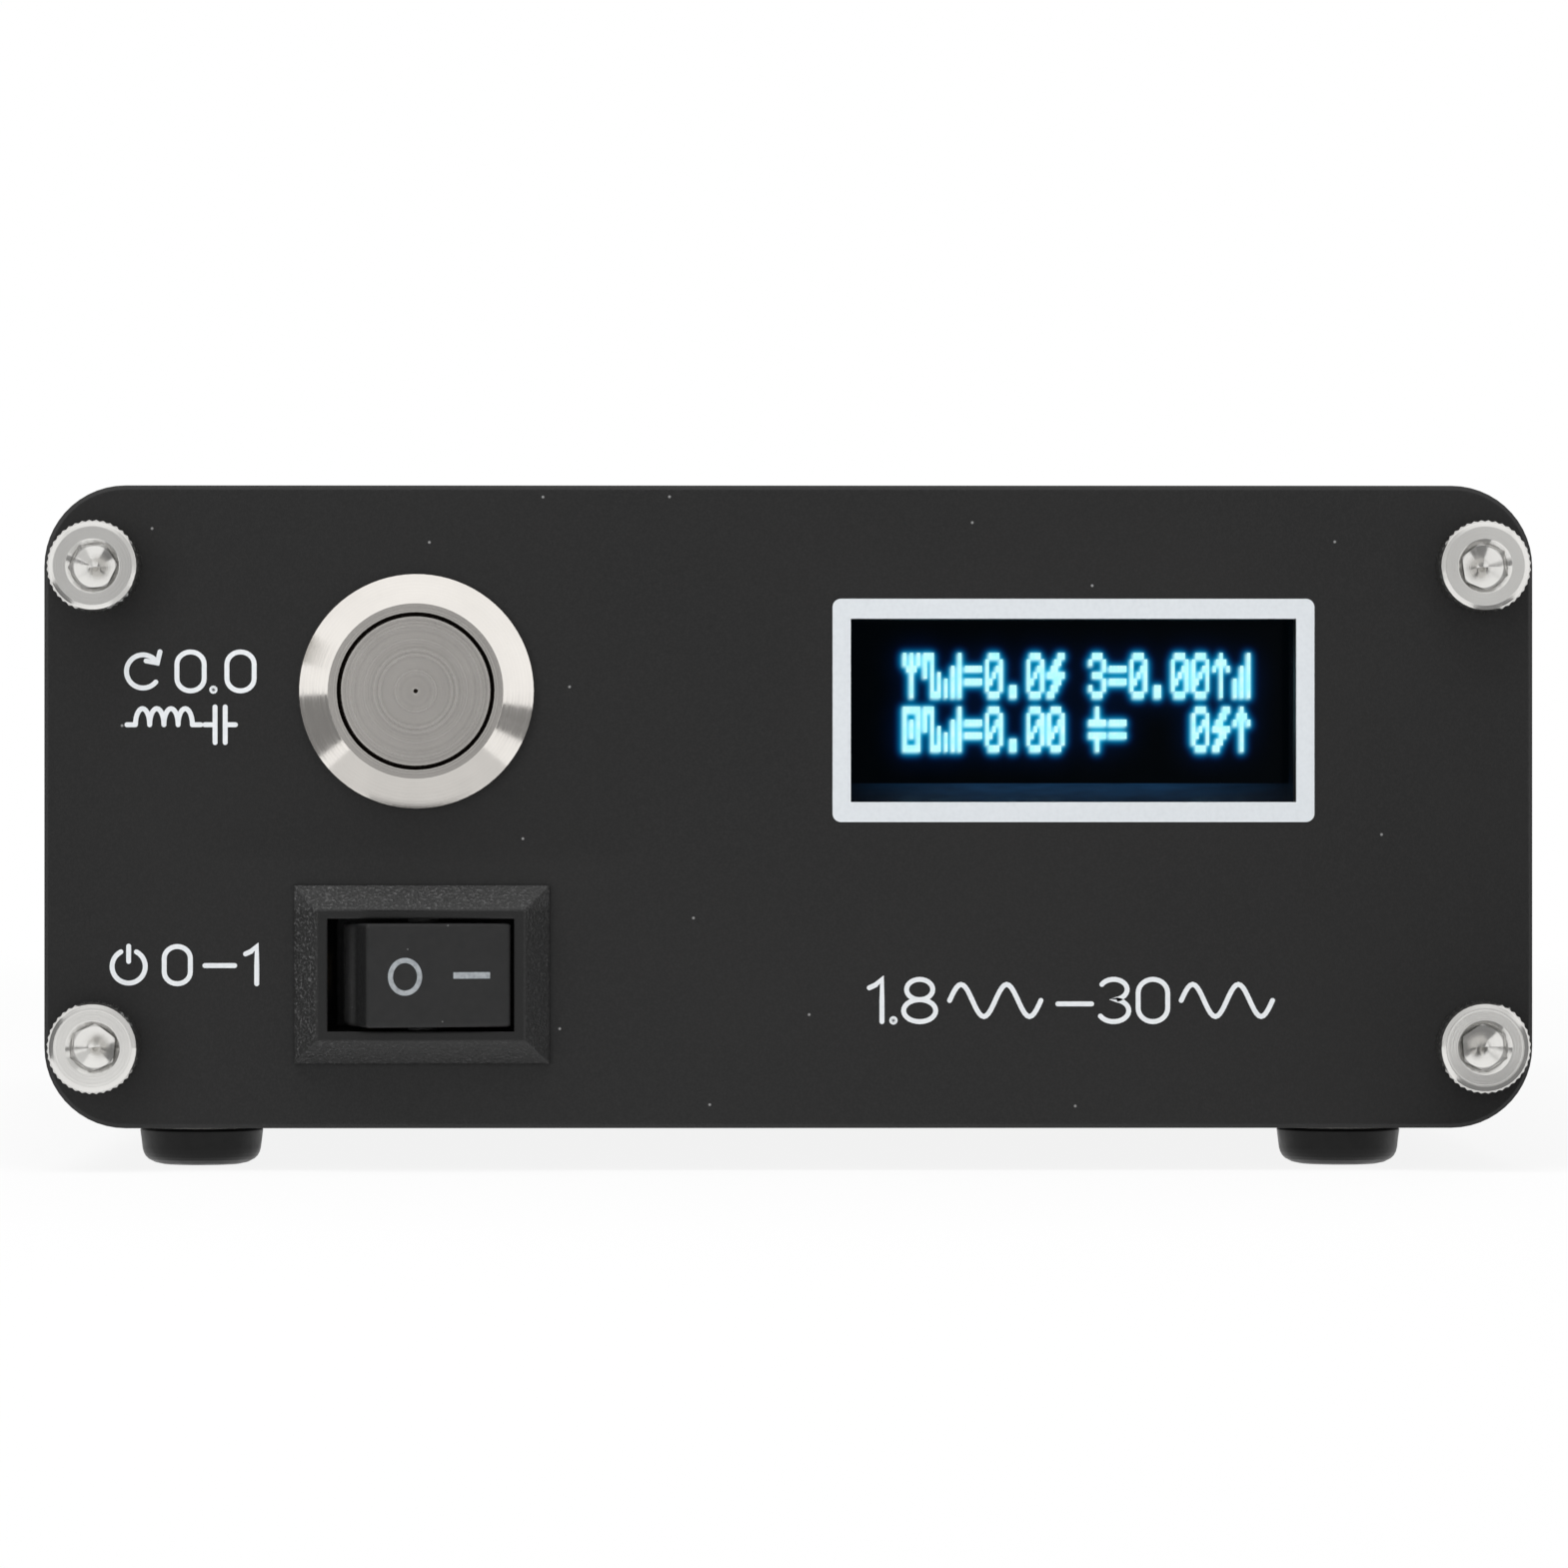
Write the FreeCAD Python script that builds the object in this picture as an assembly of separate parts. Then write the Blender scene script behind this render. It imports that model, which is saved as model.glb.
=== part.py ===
import FreeCAD, Part
import math
import os

os.makedirs("parts", exist_ok=True)

# Automatic antenna tuner in a split aluminium extrusion, built from its separate pieces.
# Millimetres, +Z up, the front panel faces -Y. The origin is at the middle of the whole
# object's footprint, on the surface that the feet stand on.
#
# Two depths are used below, both along +Y:
#   front(d)  d mm behind the front panel's outer face
#   rear(e)   e mm outside the rear panel's outer face (negative is inside the case)

# ---------------------------------------------------------------- driving dimensions
PANEL_W = 88.0
PANEL_H = 38.0
PANEL_T = 2.0
CORNER_R = 4.8
EDGE_BEVEL = 0.25
CASE_LENGTH = 150.0
SIDE_WALL = 2.4
SKIN = 1.6
GAP = 0.05

FOOT_H = 2.5
FOOT_PAD_T = 0.3
FOOT_R = 3.7
FOOT_LEFT_X = -35.3
FOOT_RIGHT_X = 33.2
FOOT_INSET = 9.0

BOSS_X = 40.9
BOSS_Z = 14.15
BOSS_R = 2.9
M3_R = 1.5
M3_HEAD_R = 2.72
M3_HEAD_H = 3.0
M3_REACH = 10.0

BUTTON_X = -21.99
BUTTON_Z = 6.82
BEZEL_R = 6.93
BEZEL_H = 1.8
BUTTON_RING_R = 5.17
BUTTON_BORE_R = 4.65
BUTTON_CAP_R = 4.5
BUTTON_CAP_DROP = 0.09
BUTTON_TRAVEL = 1.4
BUTTON_TAIL = 20.0
BUTTON_PITCH = 5.08

SWITCH_X = -21.68
SWITCH_Z = -9.9
SWITCH_W = 15.06
SWITCH_H = 10.53
SWITCH_BEVEL = 1.4
SWITCH_FRAME_H = 1.9
SWITCH_MOUTH_W = 11.0
SWITCH_MOUTH_H = 6.66
SWITCH_BODY_W = 13.0
SWITCH_BODY_H = 8.5
SWITCH_FLOOR = 9.0
SWITCH_BOTTOM = 10.2
SWITCH_TAIL = 16.5
ROCKER_PIVOT_D = 2.0
ROCKER_TILT = 13.0
ROCKER_HALF = 4.31
ROCKER_FOOT_HALF = 4.79
ROCKER_RISE = 4.93
ROCKER_H = 6.1
BLADE_TILT = 6.0
BLADE_PIVOT_D = 7.95

WINDOW_X = 16.83
WINDOW_Z = 5.7
WINDOW_W = 26.3
WINDOW_H = 10.8
GLASS_D = 5.6

SOCKET_X = 24.0
SOCKET_FLANGE = 25.4
SOCKET_FLANGE_T = 1.8
SOCKET_PITCH = 18.2
SOCKET_THREAD_R = 7.94
SOCKET_SPIGOT_R = 7.4
SOCKET_THREAD_PITCH = 1.058
SOCKET_LENGTH = 13.3
SOCKET_BORE_R = 6.2
SOCKET_RECESS = 5.0
CONTACT_BORE_R = 2.0

JACK_Z = 7.0
JACK_BARREL_R = 3.95
JACK_BORE_R = 2.85
JACK_PIN_R = 1.0

GROUND_Z = -7.5
GROUND_R = 2.0
GROUND_LENGTH = 13.2
GROUND_THREAD_PITCH = 0.7

BOARD_W = 82.6
BOARD_FRONT = 24.0
BOARD_REAR = 141.0
BOARD_T = 1.6
BOARD_UNDER = -10.4
RELAY_PITCH = 11.6
RELAY_FIRST = 45.0
RELAY_COUNT = 7

# ---------------------------------------------------------------- derived places
PANEL_TO_PANEL = CASE_LENGTH + 2 * PANEL_T
ROCKER_REACH = (
    ROCKER_HALF * math.sin(math.radians(ROCKER_TILT))
    + ROCKER_RISE * math.cos(math.radians(ROCKER_TILT))
    - ROCKER_PIVOT_D
)
FRONT_Y = ROCKER_REACH - (PANEL_TO_PANEL + ROCKER_REACH + SOCKET_LENGTH) / 2
REAR_Y = FRONT_Y + PANEL_TO_PANEL
MID_Z = FOOT_H + PANEL_H / 2
BOARD_TOP = MID_Z + BOARD_UNDER + BOARD_T
HEADER_TOP = BOARD_TOP + 8.5

V = FreeCAD.Vector
ALONG_X = V(1, 0, 0)
ALONG_Y = V(0, 1, 0)
ALONG_Z = V(0, 0, 1)


def front(d):
    return FRONT_Y + d


def rear(e):
    return REAR_Y + e


# ---------------------------------------------------------------- shape helpers
def box(x0, x1, y0, y1, z0, z1):
    return Part.makeBox(x1 - x0, y1 - y0, z1 - z0, V(x0, y0, z0))


def block(x, z, w, h, y0, y1):
    """Box centred on (x, z), w wide and h high, from y0 to y1."""
    return box(x - w / 2, x + w / 2, y0, y1, z - h / 2, z + h / 2)


def rod(x, z, r, y0, y1):
    """Cylinder along Y."""
    return Part.makeCylinder(r, y1 - y0, V(x, y0, z), ALONG_Y)


def post(x, y, r, z0, z1):
    """Cylinder along Z."""
    return Part.makeCylinder(r, z1 - z0, V(x, y, z0), ALONG_Z)


def turned(x, z, outline):
    """Solid turned about the Y line through (x, z). outline is a closed list of (radius, y)."""
    points = [V(x + r, y, z) for r, y in outline]
    face = Part.Face(Part.makePolygon(points + points[:1]))
    return face.revolve(V(x, 0, z), ALONG_Y, 360)


def turned_upright(x, y, outline):
    """Solid turned about the Z line through (x, y). outline is a closed list of (radius, z)."""
    points = [V(x + r, y, z) for r, z in outline]
    face = Part.Face(Part.makePolygon(points + points[:1]))
    return face.revolve(V(x, y, 0), ALONG_Z, 360)


def rounded_plate(x, z, w, h, r, y0, y1):
    """Rectangle with corner radius r, centred on (x, z), from y0 to y1."""
    plate = block(x, z, w, h, y0, y1)
    corners = [e for e in plate.Edges if abs(e.tangentAt(e.FirstParameter).y) > 0.9]
    return plate.makeFillet(r, corners)


def prism(points, length):
    """Closed outline of vectors, swept along the vector length."""
    return Part.Face(Part.makePolygon(points + points[:1])).extrude(length)


def hexagon_bar(x, z, across_flats, y0, y1, turn=0.0):
    """Six-sided bar along Y; at turn 0 a corner points up."""
    r = across_flats / math.sqrt(3)
    angles = [math.radians(90 + turn + 60 * i) for i in range(6)]
    points = [V(x + r * math.cos(a), y0, z + r * math.sin(a)) for a in angles]
    return prism(points, V(0, y1 - y0, 0))


def threaded_outline(r, depth, pitch, y0, y1):
    """Points up the side of a thread drawn as rings: flat crests of radius r, cut depth deep."""
    points = [(r, y0)]
    for i in range(int((y1 - y0) / pitch)):
        y = y0 + i * pitch
        points += [(r, y + 0.3 * pitch), (r - depth, y + 0.6 * pitch)]
        points += [(r - depth, y + 0.7 * pitch), (r, y + pitch)]
    points.append((r, y1))
    return points


def coil_spring(start, axis, radius, wire_r, length, turns):
    """Round-wire spring from start along axis."""
    pitch = (length - 2 * wire_r) / turns
    path = Part.Wire(Part.makeHelix(pitch, pitch * turns, radius).Edges)
    ring = Part.Wire(Part.makeCircle(wire_r, V(radius, 0, 0), ALONG_Y))
    spring = path.makePipeShell([ring], True, True)
    spring.translate(V(0, 0, wire_r))
    spring.Placement = FreeCAD.Placement(start, FreeCAD.Rotation(ALONG_Z, axis)) * spring.Placement
    return spring


def wire_run(points, bend, r):
    """Round wire: straight runs through points, joined by tangent arcs of radius bend."""
    corners = [V(*p) for p in points]
    edges = []
    start = corners[0]
    for before, here, after in zip(corners, corners[1:], corners[2:]):
        back = (before - here).normalize()
        on = (after - here).normalize()
        half = back.getAngle(on) / 2
        reach = bend / math.tan(half)
        middle = here + (back + on).normalize() * (bend / math.sin(half) - bend)
        edges.append(Part.LineSegment(start, here + back * reach).toShape())
        edges.append(Part.Arc(here + back * reach, middle, here + on * reach).toShape())
        start = here + on * reach
    edges.append(Part.LineSegment(start, corners[-1]).toShape())
    path = Part.Wire(edges)
    ring = Part.Wire(Part.makeCircle(r, corners[0], corners[1] - corners[0]))
    solid = path.makePipeShell([ring], True, False)
    expected = math.pi * r * r * path.Length
    print(f"wire {path.Length:7.1f} mm long, volume over expected {solid.Volume / expected:.4f}")
    return solid


def write(node, *solids):
    """One STEP file per node; several solids stay separate."""
    shape = solids[0] if len(solids) == 1 else Part.makeCompound(list(solids))
    if not shape.isValid():
        raise ValueError(f"{node} is not a valid shape")
    shape.exportStep(f"parts/{node}.step")


# ---------------------------------------------------------------- case
def corner_places():
    return [(sx * BOSS_X, MID_Z + sz * BOSS_Z) for sz in (1, -1) for sx in (-1, 1)]


def extrusion():
    """The whole case section before it is split: walls, screw bosses, board guides, side grooves."""
    y0 = front(PANEL_T)
    y1 = y0 + CASE_LENGTH
    outer = rounded_plate(0, MID_Z, PANEL_W, PANEL_H, CORNER_R, y0, y1)
    inner_w = PANEL_W - 2 * SIDE_WALL
    inner_h = PANEL_H - 2 * SKIN
    tube = outer.cut(rounded_plate(0, MID_Z, inner_w, inner_h, 2.4, y0, y1))
    bosses = [rod(x, z, BOSS_R, y0, y1) for x, z in corner_places()]
    guide_reach = 1.6
    guide_t = 1.1
    slot_gap = 0.1
    under = MID_Z + BOARD_UNDER - slot_gap
    over = BOARD_TOP + slot_gap
    guides = []
    for side in (-1, 1):
        x = side * (inner_w / 2 - guide_reach / 2 + 0.25)
        guides.append(block(x, under - guide_t / 2, guide_reach + 0.5, guide_t, y0, y1))
        guides.append(block(x, over + guide_t / 2, guide_reach + 0.5, guide_t, y0, y1))
    tube = tube.fuse([b.common(outer) for b in bosses] + guides)
    cuts = [rod(x, z, M3_R, y0, y1) for x, z in corner_places()]
    groove_depth = 0.7
    groove_h = 1.3
    for side in (-1, 1):
        for step in (-3, -2, -1, 1, 2, 3):
            z = MID_Z + step * 2.9
            cuts.append(block(side * PANEL_W / 2, z, 2 * groove_depth, groove_h, y0, y1))
        cuts.append(seam_groove(side, y0, y1))
    return tube.cut(cuts).removeSplitter()


def seam_groove(side, y0, y1):
    """Small V along the line where the two halves meet."""
    x = side * PANEL_W / 2
    depth = 0.35
    points = [V(x, y0, MID_Z + depth), V(x - side * depth, y0, MID_Z), V(x, y0, MID_Z - depth)]
    return prism(points, V(0, y1 - y0, 0))


def case_halves():
    """Top and bottom shells, with a lap joint at mid height: the lower wall laps outside."""
    tube = extrusion()
    y0 = front(0)
    y1 = rear(0)
    lap = 1.2
    half = PANEL_W / 2
    outer_lip = half - SIDE_WALL / 2
    low = box(-half, half, y0, y1, FOOT_H, MID_Z - lap)
    lips = [box(outer_lip, half, y0, y1, MID_Z - lap, MID_Z)]
    lips.append(box(-half, -outer_lip, y0, y1, MID_Z - lap, MID_Z))
    bottom = tube.common(low.fuse(lips))
    high = box(-half, half, y0, y1, MID_Z - lap + GAP, FOOT_H + PANEL_H)
    shy = outer_lip - GAP
    high = high.cut([box(shy, half, y0, y1, MID_Z - 2 * lap, MID_Z + GAP)])
    high = high.cut([box(-half, -shy, y0, y1, MID_Z - 2 * lap, MID_Z + GAP)])
    top = tube.common(high)
    return top, bottom


def blank_panel(outside, inside):
    """Panel blank with its outer rim bevelled, and the four corner screw holes."""
    y0 = min(outside, inside)
    y1 = max(outside, inside)
    plate = rounded_plate(0, MID_Z, PANEL_W, PANEL_H, CORNER_R, y0, y1)
    rim = [e for e in plate.Edges if abs(e.CenterOfMass.y - outside) < 1e-6]
    plate = plate.makeChamfer(EDGE_BEVEL, rim)
    return plate.cut([rod(x, z, M3_R + 0.15, y0, y1) for x, z in corner_places()])


def front_panel():
    plate = blank_panel(front(0), front(PANEL_T))
    y0 = front(-1)
    y1 = front(PANEL_T + 1)
    window = block(WINDOW_X, MID_Z + WINDOW_Z, WINDOW_W, WINDOW_H, y0, y1)
    button_hole = rod(BUTTON_X, MID_Z + BUTTON_Z, 6.1, y0, y1)
    switch_hole = block(SWITCH_X, MID_Z + SWITCH_Z, SWITCH_BODY_W + 0.2, SWITCH_BODY_H + 0.2, y0, y1)
    return plate.cut([window, button_hole, switch_hole])


def socket_screw_places():
    half = SOCKET_PITCH / 2
    return [(x, MID_Z + z) for x in (-half, half) for z in (-half, half)]


def rear_panel():
    plate = blank_panel(rear(0), rear(-PANEL_T))
    y0 = rear(-PANEL_T - 1)
    y1 = rear(1)
    holes = [rod(0, MID_Z + JACK_Z, JACK_BARREL_R + 0.1, y0, y1)]
    holes.append(rod(0, MID_Z + GROUND_Z, GROUND_R + 0.1, y0, y1))
    for side in (-1, 1):
        holes.append(rod(side * SOCKET_X, MID_Z, SOCKET_SPIGOT_R + 0.2, y0, y1))
        holes += [rod(side * SOCKET_X + x, z, 1.65, y0, y1) for x, z in socket_screw_places()]
    return plate.cut(holes)


def cap_screw(reach, turn):
    """Socket head M3 screw along +Y, its seat at y 0, its head towards -Y, with a knurled side."""
    knurls = 40
    star = []
    for i in range(2 * knurls):
        r = M3_HEAD_R if i % 2 else M3_HEAD_R - 0.09
        a = math.pi * i / knurls
        star.append(V(r * math.cos(a), -M3_HEAD_H, r * math.sin(a)))
    knurled = prism(star, V(0, M3_HEAD_H, 0))
    rim = 0.28
    outline = [(0, -M3_HEAD_H), (M3_HEAD_R - 0.4, -M3_HEAD_H)]
    outline += [(M3_HEAD_R - 0.16, 0.3 * rim - M3_HEAD_H), (M3_HEAD_R, rim + 0.1 - M3_HEAD_H)]
    outline += [(M3_HEAD_R, 0), (M3_R - 0.02, 0), (M3_R - 0.02, reach - 0.4)]
    outline += [(M3_R - 0.4, reach), (0, reach)]
    body = turned(0, 0, outline)
    shank = rod(0, 0, M3_R - 0.02, -0.5, reach)
    body = body.common(knurled.fuse(shank))
    key_r = 2.5 / math.sqrt(3)
    key_depth = 1.5
    key = hexagon_bar(0, 0, 2.5, -M3_HEAD_H - 0.1, key_depth - M3_HEAD_H, turn)
    drill = turned(0, 0, [(0, -M3_HEAD_H), (1.25, key_depth - M3_HEAD_H), (0, key_depth + 0.6 - M3_HEAD_H)])
    entry = turned(
        0, 0, [(0, -M3_HEAD_H - 0.1), (key_r + 0.25, -M3_HEAD_H - 0.1), (0, key_r + 0.15 - M3_HEAD_H)]
    )
    return body.cut([key, drill, entry])


def panel_screws():
    """Front screws and rear screws; each hexagon stands at its own angle."""
    turns = (34.0, 8.0, -6.0, 4.0)
    fronts = []
    rears = []
    for (x, z), turn in zip(corner_places(), turns):
        screw = cap_screw(M3_REACH, turn)
        screw.translate(V(x, front(0), z))
        fronts.append(screw)
        screw = cap_screw(M3_REACH, turn + 17.0)
        screw.rotate(V(0, 0, 0), ALONG_Z, 180)
        screw.translate(V(x, rear(0), z))
        rears.append(screw)
    return fronts, rears


def feet():
    """Rubber feet and the adhesive discs that hold them under the bottom shell."""
    rubber = []
    pads = []
    top = FOOT_H - FOOT_PAD_T
    for x in (FOOT_LEFT_X, FOOT_RIGHT_X):
        for y in (front(FOOT_INSET), rear(-FOOT_INSET)):
            outline = [(0, 0), (FOOT_R - 1.35, 0), (FOOT_R - 0.9, 0.1), (FOOT_R - 0.51, 0.3)]
            outline += [(FOOT_R - 0.33, 0.48), (FOOT_R - 0.21, 0.7), (FOOT_R - 0.14, 0.95)]
            outline += [(FOOT_R, top - 0.15), (FOOT_R - 0.1, top), (0, top)]
            rubber.append(turned_upright(x, y, outline))
            pads.append(post(x, y, FOOT_R - 0.25, top, FOOT_H))
    return rubber, pads


def make_case():
    top, bottom = case_halves()
    write("top_shell", top)
    write("bottom_shell", bottom)
    write("front_panel", front_panel())
    write("rear_panel", rear_panel())
    fronts, rears = panel_screws()
    write("front_panel_screws", *fronts)
    write("rear_panel_screws", *rears)
    rubber, pads = feet()
    write("rubber_feet", *rubber)
    write("foot_adhesive_pads", *pads)


# ---------------------------------------------------------------- push button
def make_button():
    x = BUTTON_X
    z = MID_Z + BUTTON_Z
    barrel_r = 5.9
    inner_r = 5.0
    lip = 1.0
    web = 6.2
    web_t = 0.8
    end = 14.0
    stem_r = 1.6
    skirt = 1.6
    outline = [(BUTTON_BORE_R, front(-BEZEL_H)), (BUTTON_RING_R, front(-BEZEL_H))]
    outline += [(BEZEL_R, front(-0.4)), (BEZEL_R, front(0))]
    outline += threaded_outline(barrel_r, 0.35, 1.0, front(0), front(end))
    outline += [(inner_r, front(end)), (inner_r, front(web + web_t)), (stem_r + 0.2, front(web + web_t))]
    outline += [(stem_r + 0.2, front(web)), (inner_r, front(web)), (inner_r, front(lip - BEZEL_H))]
    outline += [(BUTTON_BORE_R, front(lip - BEZEL_H))]
    write("button_housing", turned(x, z, outline))

    face = front(BUTTON_CAP_DROP - BEZEL_H)
    stem_end = 8.0
    skirt_front = front(lip - BEZEL_H + 0.2)
    outline = [(0, face + 0.1), (0.16, face), (BUTTON_CAP_R - 0.12, face), (BUTTON_CAP_R, face + 0.12)]
    outline += [(BUTTON_CAP_R, skirt_front), (inner_r - 0.12, skirt_front), (inner_r - 0.12, front(skirt))]
    outline += [(stem_r, front(skirt)), (stem_r, front(stem_end)), (0, front(stem_end))]
    write("button_cap", turned(x, z, outline))
    spring_length = web - skirt
    write("button_spring", coil_spring(V(x, front(skirt), z), ALONG_Y, 2.75, 0.3, spring_length, 4))

    plate_t = 0.4
    bridge = block(x, z, 7.4, 2.0, front(stem_end), front(stem_end + plate_t))
    write("button_contact", bridge)

    gasket = rod(x, z, 7.6, front(PANEL_T), front(PANEL_T + 0.6)).cut(rod(x, z, 6.0, front(0), front(9)))
    write("button_gasket", gasket)
    nut = hexagon_bar(x, z, 14.0, front(PANEL_T + 0.6), front(PANEL_T + 3.0), 12.0)
    write("button_nut", nut.cut(rod(x, z, barrel_r + 0.02, front(0), front(9))))

    cup_r = 4.2
    cup_floor = 10.8
    cup_rim = web + web_t + 0.1
    outline = [(cup_r, front(cup_rim)), (inner_r - GAP, front(cup_rim)), (inner_r - GAP, front(end))]
    outline += [(barrel_r, front(end)), (barrel_r, front(end + 1.2)), (0, front(end + 1.2))]
    outline += [(0, front(cup_floor)), (cup_r, front(cup_floor))]
    base = turned(x, z, outline)
    tails = []
    for side in (-1, 1):
        tail_x = x + side * BUTTON_PITCH / 2
        top = front(stem_end + plate_t + BUTTON_TRAVEL + GAP)
        tails.append(block(tail_x, z, 0.6, 2.0, top, front(BUTTON_TAIL)))
    write("button_base", base.cut(tails))
    write("button_terminals", *tails)


# ---------------------------------------------------------------- rocker switch
def switch_frame(x, z):
    """Bezel with four mitred bevels."""
    outlines = []
    for depth, shrink in ((-0.3, 0.0), (-SWITCH_FRAME_H, 2 * SWITCH_BEVEL)):
        w = (SWITCH_W - shrink) / 2
        h = (SWITCH_H - shrink) / 2
        y = front(depth)
        points = [V(x - w, y, z - h), V(x + w, y, z - h), V(x + w, y, z + h), V(x - w, y, z + h)]
        outlines.append(Part.makePolygon(points + points[:1]))
    bevels = Part.makeLoft(outlines, True, True)
    return bevels.fuse(block(x, z, SWITCH_W, SWITCH_H, front(-0.3), front(0)))


def switch_housing(x, z, terminals):
    frame = switch_frame(x, z)
    body = block(x, z, SWITCH_BODY_W, SWITCH_BODY_H, front(0), front(SWITCH_BOTTOM))
    catches = []
    for side in (-1, 1):
        wall = x + side * SWITCH_BODY_W / 2
        points = [V(wall, front(PANEL_T + GAP), z - 1.5), V(wall + side * 0.7, front(PANEL_T + GAP), z - 1.5)]
        points += [V(wall, front(PANEL_T + 3.5), z - 1.5)]
        catches.append(prism(points, V(0, 0, 3.0)))
    housing = frame.fuse([body] + catches)
    cavity = block(x, z, SWITCH_MOUTH_W, SWITCH_MOUTH_H, front(-SWITCH_FRAME_H), front(SWITCH_FLOOR))
    pin_holes = Part.makeCylinder(
        0.95, SWITCH_BODY_H, V(x, front(ROCKER_PIVOT_D), z - SWITCH_BODY_H / 2), ALONG_Z
    )
    return housing.cut([cavity, pin_holes] + terminals)


def switch_rocker(x, z):
    """Paddle, pivot pins and spring tube, made level and then tilted to the ON side."""
    pivot = front(ROCKER_PIVOT_D)
    low = z - ROCKER_H / 2
    points = [V(x - ROCKER_HALF, pivot - ROCKER_RISE, low), V(x + ROCKER_HALF, pivot - ROCKER_RISE, low)]
    points += [V(x + ROCKER_FOOT_HALF, pivot, low), V(x + ROCKER_FOOT_HALF - 0.3, pivot + 1.0, low)]
    points += [V(x - ROCKER_FOOT_HALF + 0.3, pivot + 1.0, low), V(x - ROCKER_FOOT_HALF, pivot, low)]
    paddle = prism(points, V(0, 0, ROCKER_H))
    paddle = paddle.makeFillet(0.2, paddle.Edges)
    pins = Part.makeCylinder(0.9, ROCKER_H + 1.4, V(x, pivot, low - 0.7), ALONG_Z)
    tube = rod(x, z, 1.55, pivot, pivot + 3.2)
    rocker = paddle.fuse([pins, tube])
    return rocker.cut(rod(x, z, 1.0, pivot - 2.5, pivot + 3.2))


def make_switch():
    x = SWITCH_X
    z = MID_Z + SWITCH_Z
    pivot = front(ROCKER_PIVOT_D)
    centre_tail = block(x, z, 0.8, 2.8, front(BLADE_PIVOT_D + GAP), front(SWITCH_TAIL))
    on_tail = block(x - 3.6, z, 0.8, 2.8, front(BLADE_PIVOT_D + 0.75), front(SWITCH_TAIL))
    terminals = [centre_tail, on_tail]
    write("switch_housing", switch_housing(x, z, terminals))
    write("switch_terminals", *terminals)

    plunger = rod(x, z, 0.92, pivot + 1.6, pivot + 4.6).fuse(Part.makeSphere(0.8, V(x, pivot + 4.6, z)))
    spring = coil_spring(V(x, pivot - 2.5, z), ALONG_Y, 0.76, 0.14, 4.1, 6)
    tilting = {"switch_rocker": switch_rocker(x, z), "switch_plunger": plunger, "switch_spring": spring}
    for node, solid in tilting.items():
        solid.rotate(V(x, pivot, z), ALONG_Z, ROCKER_TILT)
        write(node, solid)

    blade_pivot = front(BLADE_PIVOT_D)
    blade = block(x, z, 8.4, 2.4, blade_pivot - 0.5, blade_pivot)
    rivet = rod(x - 3.6, z, 0.6, blade_pivot - 0.1, blade_pivot + 0.25)
    blade = blade.fuse(rivet)
    blade.rotate(V(x, blade_pivot, z), ALONG_Z, -BLADE_TILT)
    write("switch_contact_blade", blade)


# ---------------------------------------------------------------- display
def make_display():
    x = WINDOW_X
    z = MID_Z + WINDOW_Z
    glass_w = 31.6
    glass_h = 12.4
    glass_t = 1.4
    board_w = 38.0
    board_h = 13.4
    board_t = 1.2
    back = GLASS_D + glass_t + board_t
    sill_rise = 1.1
    low = z - WINDOW_H / 2
    holder = block(x, z, 41.0, 18.0, front(PANEL_T), front(back + 0.8))
    mouth = block(x, z, WINDOW_W, WINDOW_H, front(PANEL_T), front(GLASS_D))
    sill = prism(
        [
            V(x - WINDOW_W / 2, front(PANEL_T), low),
            V(x - WINDOW_W / 2, front(GLASS_D), low + sill_rise),
            V(x - WINDOW_W / 2, front(GLASS_D), low),
        ],
        V(WINDOW_W, 0, 0),
    )
    glass_seat = block(x, z, glass_w + 0.2, glass_h + 0.2, front(GLASS_D), front(back + 1))
    board_seat = block(x, z, board_w + 0.2, board_h + 0.2, front(GLASS_D + glass_t), front(back + 1))
    write("display_holder", holder.cut([mouth.cut(sill), glass_seat, board_seat]))
    glass = block(x, z, glass_w, glass_h, front(GLASS_D), front(GLASS_D + glass_t))
    write("display_glass", glass)
    board = block(x, z, board_w, board_h, front(GLASS_D + glass_t), front(back))
    write("display_board", board)

    header_x = x - board_w / 2 + 1.5
    strip = block(header_x, z, 2.5, 10.16, front(back), front(back + 2.5))
    pins = []
    for row in range(4):
        pin_z = z + (row - 1.5) * 2.54
        pins.append(block(header_x, pin_z, 0.64, 0.64, front(back), front(back + 8.5)))
    write("display_header", strip.cut(pins), *pins)
    return header_x, [z + (row - 1.5) * 2.54 for row in range(4)], back + 8.5


# ---------------------------------------------------------------- main board
def upright_header(places):
    """Plastic blocks with one square pin each, standing on the board. places are (x, depth)."""
    solids = []
    for x, d in places:
        pin = box(x - 0.32, x + 0.32, front(d) - 0.32, front(d) + 0.32, BOARD_TOP, HEADER_TOP)
        foot = box(x - 1.25, x + 1.25, front(d) - 1.25, front(d) + 1.25, BOARD_TOP, BOARD_TOP + 2.5)
        solids += [foot.cut(pin), pin]
    return solids


def relay(x, d):
    """Sealed signal relay, 20.2 x 10 x 12 mm, with softened top edges."""
    y = front(d)
    body = box(x - 10.1, x + 10.1, y - 5.0, y + 5.0, BOARD_TOP, BOARD_TOP + 12.0)
    top = [e for e in body.Edges if e.CenterOfMass.z > BOARD_TOP + 11.9]
    return body.makeFillet(0.5, top)


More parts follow.
